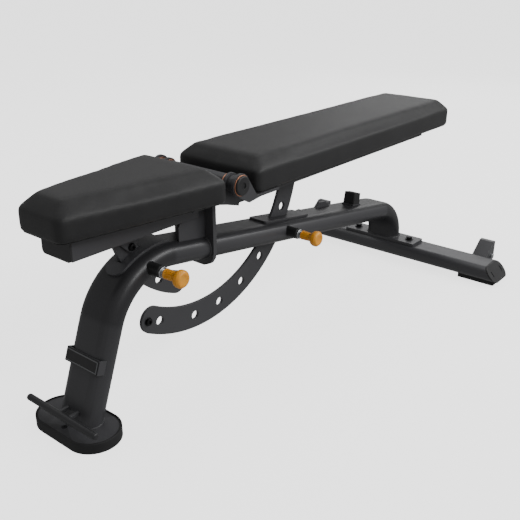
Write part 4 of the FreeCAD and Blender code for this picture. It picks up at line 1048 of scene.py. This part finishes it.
@dataclass
class Bolt:
    """A bolt's head on its washer, standing on a face."""

    head_radius: float = 8.6 * MM
    head_height: float = 7.0 * MM
    washer_radius: float = 12 * MM
    washer_height: float = 1.8 * MM
    drive: Drive = Drive.HEX

    def add(self, work: bmesh.types.BMesh, foot: Vector, axis: Vector) -> None:
        """Add the head and washer.

        Args:
            work: the mesh to add to.
            foot: where the washer sits.
            axis: outward direction.
        """
        wr, wh = self.washer_radius, self.washer_height
        washer = [(0, 0.2 * wr), (0, wr - 0.3 * MM), (0.3 * MM, wr), (wh - 0.3 * MM, wr), (wh, wr - 0.3 * MM),
                  (wh, 0.2 * wr)]
        add_lathe(work, washer, foot, axis)
        r, h = self.head_radius, self.head_height
        if self.drive is Drive.HEX:
            self.add_hex(work, foot + axis * wh, axis)
            return
        shape = [(0, r), (h * 0.55, r), (h * 0.85, r * 0.9), (h, r * 0.72), (h, r * 0.5), (h * 0.4, r * 0.5),
                 (h * 0.4, 0.05 * r)]

        def socket(t: float, radius: float, angle: float) -> float:
            """Six flats inside the head's recess."""
            if radius > r * 0.51 or radius < r * 0.3:
                return radius
            sector = (angle % (math.pi / 3)) - math.pi / 6
            return radius * math.cos(math.pi / 6) / math.cos(sector)
        add_lathe(work, shape, foot + axis * wh, axis, 48, socket)

    def add_hex(self, work: bmesh.types.BMesh, foot: Vector, axis: Vector) -> None:
        """Add a chamfered hexagon head."""
        r, h = self.head_radius, self.head_height

        def flats(t: float, radius: float, angle: float) -> float:
            """The smaller of the hexagon and the chamfer's circle."""
            sector = (angle % (math.pi / 3)) - math.pi / 6
            return min(radius, r * math.cos(math.pi / 6) / math.cos(sector))
        shape = [(0, r), (h * 0.8, r), (h * 0.9, r * 0.95), (h, r * 0.84), (h, r * 0.4), (h, r * 0.02)]
        add_lathe(work, shape, foot, axis, 48, flats)


@dataclass
class Fasteners:
    """Every bolt that shows."""

    def base_bolts(self) -> None:
        """Hexagon bolts that hold the base plate to the crossbar."""
        work = bmesh.new()
        low, high = box_of("base_bolts")
        plate_top = box_of("rear_base_plate")[1].z
        x = (low.x + high.x) / 2
        reach = high.y - Bolt.washer_radius
        for side in (-1, 1):
            Bolt().add(work, Vector((x, side * reach, plate_top)), Vector((0, 0, 1)))
        piece = new_piece("base_bolt_heads", work, Body.BASE, OXIDE, 30.0)
        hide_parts("base_bolts")

    def cross_bolts(self, node: str, body: Body, places: Sequence[Point], reach: float, size: float) -> None:
        """Bolts across an arc's clevis, with a button head on the near side and a lock nut on the far side.

        Args:
            node: the CAD node that they stand for.
            body: the body that they ride on.
            places: X and Z of each bolt.
            reach: distance of the seat faces from the symmetry plane.
            size: radius of the shank.
        """
        work = bmesh.new()
        head = Bolt(size * 1.85, size * 1.2, size * 2.1, 1.0 * MM, Drive.SOCKET)
        nut = Bolt(size * 1.9, size * 1.5, size * 2.1, 1.0 * MM, Drive.HEX)
        for x, z in places:
            head.add(work, Vector((x, -reach, z)), Vector((0, -1, 0)))
            nut.add(work, Vector((x, reach, z)), Vector((0, 1, 0)))
            add_lathe(work, [(0, size), (2 * reach, size)], Vector((x, -reach, z)), Vector((0, 1, 0)), 24)
        piece = new_piece(node + "_detailed", work, body, OXIDE, 30.0)
        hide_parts(node)

    def polar(self, radius: float, degrees: float) -> Point:
        """X and Z at a radius and angle from the pivot."""
        a = math.radians(degrees)
        return (PIVOT.x + radius * math.cos(a), PIVOT.z + radius * math.sin(a))

    def build(self) -> None:
        """Make every bolt."""
        self.base_bolts()
        self.cross_bolts("seat_arc_bolts", Body.SEAT, [self.polar(0.2225, -154.6), self.polar(0.232, -163.5)],
                         9.6 * MM, 4 * MM)
        self.cross_bolts("back_arc_bolts", Body.BACKREST, [self.polar(0.304, -11.0), self.polar(0.330, -11.0)],
                         9.6 * MM, 4 * MM)
        stop = middle_of("arc_stop_bolt")
        self.cross_bolts("arc_stop_bolt", Body.BACKREST, [(stop.x, stop.z)], 3.6 * MM, 4.4 * MM)


# ---------------------------------------------------------------------------
# Pull knobs, wheels and badge
# ---------------------------------------------------------------------------

@dataclass
class PullKnob:
    """A moulded knob on a pop-pin: a ribbed grip that flares to a broad end disc."""

    node: str
    body: Body
    ribs: int = 14
    rib_depth: float = 0.7 * MM
    grip_end: float = 24 * MM

    def profile(self, length: float, outer: float) -> list[Point]:
        """Distances along the knob and radii, from its inner end.

        Args:
            length: the knob's full length.
            outer: radius of its end disc.

        Returns:
            The turned outline.
        """
        grip = [(6.4 * MM, 4.2 * MM), (6.4 * MM, 8.4 * MM), (0.3 * MM, 8.4 * MM), (0.0, 8.7 * MM), (0.0, 9.6 * MM),
                (0.5 * MM, 10.4 * MM), (1.6 * MM, 10.9 * MM), (3.0 * MM, 10.9 * MM), (3.6 * MM, 10.4 * MM)]
        grip += [((3.8 + 1.65 * k) * MM, (10.6 - 0.06 * k) * MM) for k in range(1, 13)]
        flare = []
        for k in range(11):
            t = k / 10
            swell = t * t * (3 - 2 * t)
            flare.append((self.grip_end + (length - 14 * MM - self.grip_end) * t,
                          9.9 * MM + (outer - 1.4 * MM - 9.9 * MM) * swell ** 1.3))
        end = [(length - 12.6 * MM, outer - 0.4 * MM), (length - 11.4 * MM, outer), (length - 5.2 * MM, outer),
               (length - 4.2 * MM, outer - 0.4 * MM), (length - 0.7 * MM, outer - 3.2 * MM),
               (length, outer - 4.2 * MM), (length, outer * 0.5), (length - 0.5 * MM, outer * 0.46),
               (length - 0.5 * MM, outer * 0.02)]
        return grip + flare + end

    def build(self) -> None:
        """Turn the knob, with its recess over the guide sleeve."""
        low, high = box_of(self.node)
        centre = Vector(((low.x + high.x) / 2, high.y, (low.z + high.z) / 2))
        length = high.y - low.y

        def ribbed(t: float, radius: float, angle: float) -> float:
            """Grooves between the grip's ribs."""
            if not 3.7 * MM < t < self.grip_end + 1 * MM or radius < 8 * MM:
                return radius
            return radius - self.rib_depth * max(0.0, math.cos(self.ribs * angle)) ** 0.6
        work = bmesh.new()
        add_lathe(work, self.profile(length, (high.z - low.z) / 2), centre, Vector((0, -1, 0)), 112, ribbed)
        piece = new_piece(self.node + "_ribbed", work, self.body, ORANGE, 40.0)
        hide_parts(self.node)


@dataclass
class Wheel:
    """A transport wheel: polyurethane tread on a ribbed nylon hub."""

    node: str
    body: Body
    ribs: int = 6
    bore: float = 5.06 * MM

    def build(self) -> None:
        """Make the tread and the hub."""
        low, high = box_of(self.node)
        centre = (low + high) / 2
        radius = (high.z - low.z) / 2
        half = (high.y - low.y) / 2
        axis = Vector((0, 1, 0))
        rim = radius - 7 * MM
        tread = [(-half + 1.5 * MM, rim), (-half, rim + 1.5 * MM), (-half, radius - 5 * MM),
                 (-half + 1.5 * MM, radius - 1.6 * MM), (-half + 5 * MM, radius), (-3 * MM, radius),
                 (-2 * MM, radius - 0.8 * MM), (2 * MM, radius - 0.8 * MM), (3 * MM, radius), (half - 5 * MM, radius),
                 (half - 1.5 * MM, radius - 1.6 * MM), (half, radius - 5 * MM), (half, rim + 1.5 * MM),
                 (half - 1.5 * MM, rim)]
        work = bmesh.new()
        self.add_closed_lathe(work, tread, centre, axis)
        piece = new_piece(self.node + "_tread", work, self.body, RUBBER, 40.0)
        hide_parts(self.node)
        hub = bmesh.new()
        lip = half - 1.5 * MM
        web = half - 7 * MM
        shape = [(-lip, rim), (-lip, rim - 2.0 * MM), (-web, rim - 3 * MM), (-web, 9 * MM), (-lip, 8.4 * MM),
                 (-lip, self.bore), (lip, self.bore), (lip, 8.4 * MM), (web, 9 * MM), (web, rim - 3 * MM),
                 (lip, rim - 2.0 * MM), (lip, rim)]
        self.add_closed_lathe(hub, shape, centre, axis)
        for k in range(self.ribs):
            self.add_rib(hub, centre, 2 * math.pi * k / self.ribs, 8.2 * MM, rim - 2.2 * MM, lip - 0.8 * MM, web)
        new_piece(self.node + "_hub", hub, self.body, NYLON, 30.0)

    def add_closed_lathe(self, work: bmesh.types.BMesh, section: Sequence[Point], centre: Vector,
                         axis: Vector) -> None:
        """Add a ring-shaped turned solid from a closed section."""
        side = axis.orthogonal().normalized()
        up = axis.cross(side)
        rings = []
        for t, r in section:
            turns = [2 * math.pi * k / 72 for k in range(72)]
            rings.append([centre + axis * t + (side * math.cos(a) + up * math.sin(a)) * r for a in turns])
        add_rings(work, rings, cap=False, loop=True)

    def add_rib(self, work: bmesh.types.BMesh, centre: Vector, angle: float, inner: float, outer: float,
                top: float, web: float) -> None:
        """Add a radial rib on both faces of the hub."""
        out = Vector((math.cos(angle), 0, math.sin(angle)))
        across = Vector((-math.sin(angle), 0, math.cos(angle))) * 1.3 * MM
        for sign in (-1, 1):
            rings = []
            for r in (inner, outer):
                foot = centre + out * r
                rings.append([foot - across + Vector((0, sign * (web - 0.5 * MM), 0)),
                              foot + across + Vector((0, sign * (web - 0.5 * MM), 0)),
                              foot + across * 0.7 + Vector((0, sign * top, 0)),
                              foot - across * 0.7 + Vector((0, sign * top, 0))])
            add_rings(work, rings)


@dataclass
class ThrustRing:
    """Bronze thrust rings that stand proud round the foot of each hinge cap."""

    node: str = "pivot_caps"
    proud: float = 1.6 * MM
    width: float = 2.2 * MM

    def build(self) -> None:
        """Turn one ring for each cap."""
        low, high = box_of(self.node)
        centre = middle_of(self.node)
        cap = (high.z - low.z) / 2
        foot = box_of("back_hinge_brackets")[1].y
        work = bmesh.new()
        for side in (-1, 1):
            rim = cap + self.proud
            profile = [(0.1 * MM, cap - 1 * MM), (0.1 * MM, rim - 0.5 * MM), (0.5 * MM, rim),
                       (self.width - 0.6 * MM, rim), (self.width, rim - 0.6 * MM), (self.width, cap - 1 * MM)]
            add_lathe(work, profile, Vector((centre.x, side * foot, centre.z)), Vector((0, side, 0)), 72)
        new_piece("hinge_thrust_rings", work, Body.BACKREST, BRONZE, 40.0)


@dataclass
class Badge:
    """A plain raised border on the badge plate, with no marks."""

    border: float = 2.4 * MM
    relief: float = 0.7 * MM
    lean_deg: float = 20.5

    def build(self) -> None:
        """Lay the border on the plate's face."""
        low, high = box_of("badge_plate")
        centre = (low + high) / 2
        lean = math.radians(self.lean_deg)
        up = Vector((math.sin(lean), 0, math.cos(lean)))
        out = Vector((-math.cos(lean), 0, math.sin(lean)))
        half_y = (high.y - low.y) / 2 - 0.6 * MM
        half_u = ((high.z - low.z) / math.cos(lean)) / 2 - 1.4 * MM
        face = centre + out * 0.75 * MM
        work = bmesh.new()
        outline = [(-half_y, -half_u), (half_y, -half_u), (half_y, half_u), (-half_y, half_u)]
        self.add_frame(work, face, up, out, outline)
        new_piece("badge_border", work, Body.BASE, ALUMINIUM, 30.0)

    def add_frame(self, work: bmesh.types.BMesh, face: Vector, up: Vector, out: Vector,
                  outline: Sequence[Point]) -> None:
        """Add a raised frame round an outline."""
        rings = []
        for inset, lift in ((0.0, -0.3 * MM), (0.0, self.relief * 0.7), (0.3 * MM, self.relief),
                            (self.border - 0.3 * MM, self.relief), (self.border, self.relief * 0.7),
                            (self.border, -0.3 * MM)):
            rings.append([face + Vector((0, y - math.copysign(inset, y), 0)) +
                          up * (u - math.copysign(inset, u)) + out * lift for y, u in outline])
        add_rings(work, rings, cap=False, loop=True)


# ---------------------------------------------------------------------------
# Finishes on the CAD nodes
# ---------------------------------------------------------------------------

@dataclass
class NodeFinishes:
    """Which finish each carried-over node wears."""

    by_slot: dict[str, Finish] = field(default_factory=lambda: {
        "frame_paint": POWDER, "upholstery": VINYL, "board": PLY, "rubber_black": RUBBER, "plastic_black": NYLON,
        "knob_orange": ORANGE, "bronze": BRONZE, "steel_bright": ZINC, "fastener_dark": OXIDE})

    def build(self) -> None:
        """Put a finish on every node."""
        slots = {s["node"]: s["material_slot"] for s in frame["record"]["subparts"]}
        for name, node in frame["nodes"].items():
            for slot in node.material_slots:
                slot.material = self.by_slot[slots[name]].material()


# ---------------------------------------------------------------------------
# Studio
# ---------------------------------------------------------------------------

@dataclass
class Studio:
    """Pale floor, soft lights and the camera."""

    eye: Vector = field(default_factory=lambda: Vector((-1.0429, -1.0161, 0.4324)))
    heading_deg: float = 39.21
    dip_deg: float = 23.32
    lens_mm: float = 50.0
    floor_half: float = 40.0
    floor_colour: str = "#c8c8c8"
    floor_glow: float = 2.1
    sky_strength: float = 0.32
    overhead_power: float = 26
    side_power: float = 92
    rim_power: float = 12

    def camera(self) -> None:
        """Place the camera, measured from the pivot."""
        data = bpy.data.cameras.new("camera")
        data.lens = self.lens_mm
        data.sensor_width = 36.0
        data.clip_end = 200.0
        camera = bpy.data.objects.new("camera", data)
        bpy.context.collection.objects.link(camera)
        a, b = math.radians(self.heading_deg), math.radians(self.dip_deg)
        look = Vector((math.cos(a) * math.cos(b), math.sin(a) * math.cos(b), -math.sin(b)))
        camera.location = PIVOT + self.eye
        camera.rotation_euler = look.to_track_quat("-Z", "Y").to_euler()
        bpy.context.scene.camera = camera

    def floor(self) -> None:
        """A large pale plane with a glow of its own, so that it stays even and its shadows stay faint."""
        work = bmesh.new()
        s = self.floor_half
        work.faces.new([work.verts.new((x, y, 0)) for x, y in ((-s, -s), (s, -s), (s, s), (-s, s))])
        mesh = bpy.data.meshes.new("floor")
        work.to_mesh(mesh)
        work.free()
        made = bpy.data.materials.new("studio_floor")
        made.use_nodes = True
        shader = made.node_tree.nodes["Principled BSDF"]
        shader.inputs["Base Color"].default_value = linear(self.floor_colour)
        shader.inputs["Roughness"].default_value = 0.95
        shader.inputs["Specular IOR Level"].default_value = 0.0
        shader.inputs["Emission Color"].default_value = (1.0, 1.0, 1.0, 1.0)
        shader.inputs["Emission Strength"].default_value = self.floor_glow
        mesh.materials.append(made)
        floor = bpy.data.objects.new("floor", mesh)
        bpy.context.collection.objects.link(floor)
        floor.visible_diffuse = False
        floor.visible_glossy = False

    def sky(self) -> None:
        """Even light from all round."""
        world = bpy.data.worlds.new("studio")
        world.use_nodes = True
        shade = world.node_tree.nodes["Background"]
        shade.inputs["Color"].default_value = (1.0, 1.0, 1.0, 1.0)
        shade.inputs["Strength"].default_value = self.sky_strength
        bpy.context.scene.world = world

    def softbox(self, name: str, place: Vector, aim: Vector, size: Point, power: float) -> None:
        """A rectangular soft light.

        Args:
            name: the light's name.
            place: where it stands.
            aim: what it faces.
            size: width and height.
            power: in watts.
        """
        data = bpy.data.lights.new(name, "AREA")
        data.shape = "RECTANGLE"
        data.size, data.size_y = size
        data.energy = power
        light = bpy.data.objects.new(name, data)
        light.location = place
        light.rotation_euler = (aim - place).to_track_quat("-Z", "Y").to_euler()
        bpy.context.collection.objects.link(light)

    def build(self) -> None:
        """Set up the floor, the lights and the camera."""
        self.camera()
        self.floor()
        self.sky()
        aim = Vector((0, 0, 0.3))
        self.softbox("overhead", Vector((0.5, 0.8, 3.4)), aim, (3.6, 2.4), self.overhead_power)
        self.softbox("near_side", Vector((1.2, -2.5, 2.3)), aim, (4.6, 0.6), self.side_power)
        self.softbox("head_end", Vector((3.4, 1.2, 1.6)), aim, (1.6, 1.6), self.rim_power)


# ---------------------------------------------------------------------------
# The bench
# ---------------------------------------------------------------------------

def seat_pad() -> Pad:
    """The tapered seat pad."""
    return Pad("seat_pad", Body.SEAT, front=-397 * MM, rear=-38 * MM, front_half=62 * MM, rear_half=121.5 * MM,
               bottom=-26 * MM, top=41.5 * MM, tilt_deg=0.7, front_corner=20 * MM, rear_corner=14 * MM)


def back_pad() -> Pad:
    """The long backrest pad."""
    return Pad("back_pad", Body.BACKREST, front=52 * MM, rear=938 * MM, front_half=118 * MM, rear_half=118 * MM,
               bottom=-31 * MM, top=38.5 * MM, tilt_deg=0.55, front_corner=16 * MM, rear_corner=26 * MM)


def main() -> None:
    """Build the bench in order and report each piece."""
    logging.basicConfig(level=logging.INFO, format="%(name)s: %(message)s")
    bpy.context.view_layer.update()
    steps: list[tuple[str, Callable[[], None]]] = [
        ("studio", Studio().build),
        ("node finishes", NodeFinishes().build),
        ("seat pad", seat_pad().build),
        ("backrest pad", back_pad().build),
        ("weld beads", Spine().build),
        ("bolts", Fasteners().build),
        ("front pull knob", PullKnob("front_pin_knob", Body.FRONT_PIN).build),
        ("rear pull knob", PullKnob("rear_pin_knob", Body.REAR_PIN).build),
        ("left wheel", Wheel("wheel_left", Body.WHEEL_LEFT).build),
        ("right wheel", Wheel("wheel_right", Body.WHEEL_RIGHT).build),
        ("thrust rings", ThrustRing().build),
        ("badge", Badge().build),
    ]
    for label, build in steps:
        build()
        log.info("built %s", label)


if __name__ == "__main__":
    main()
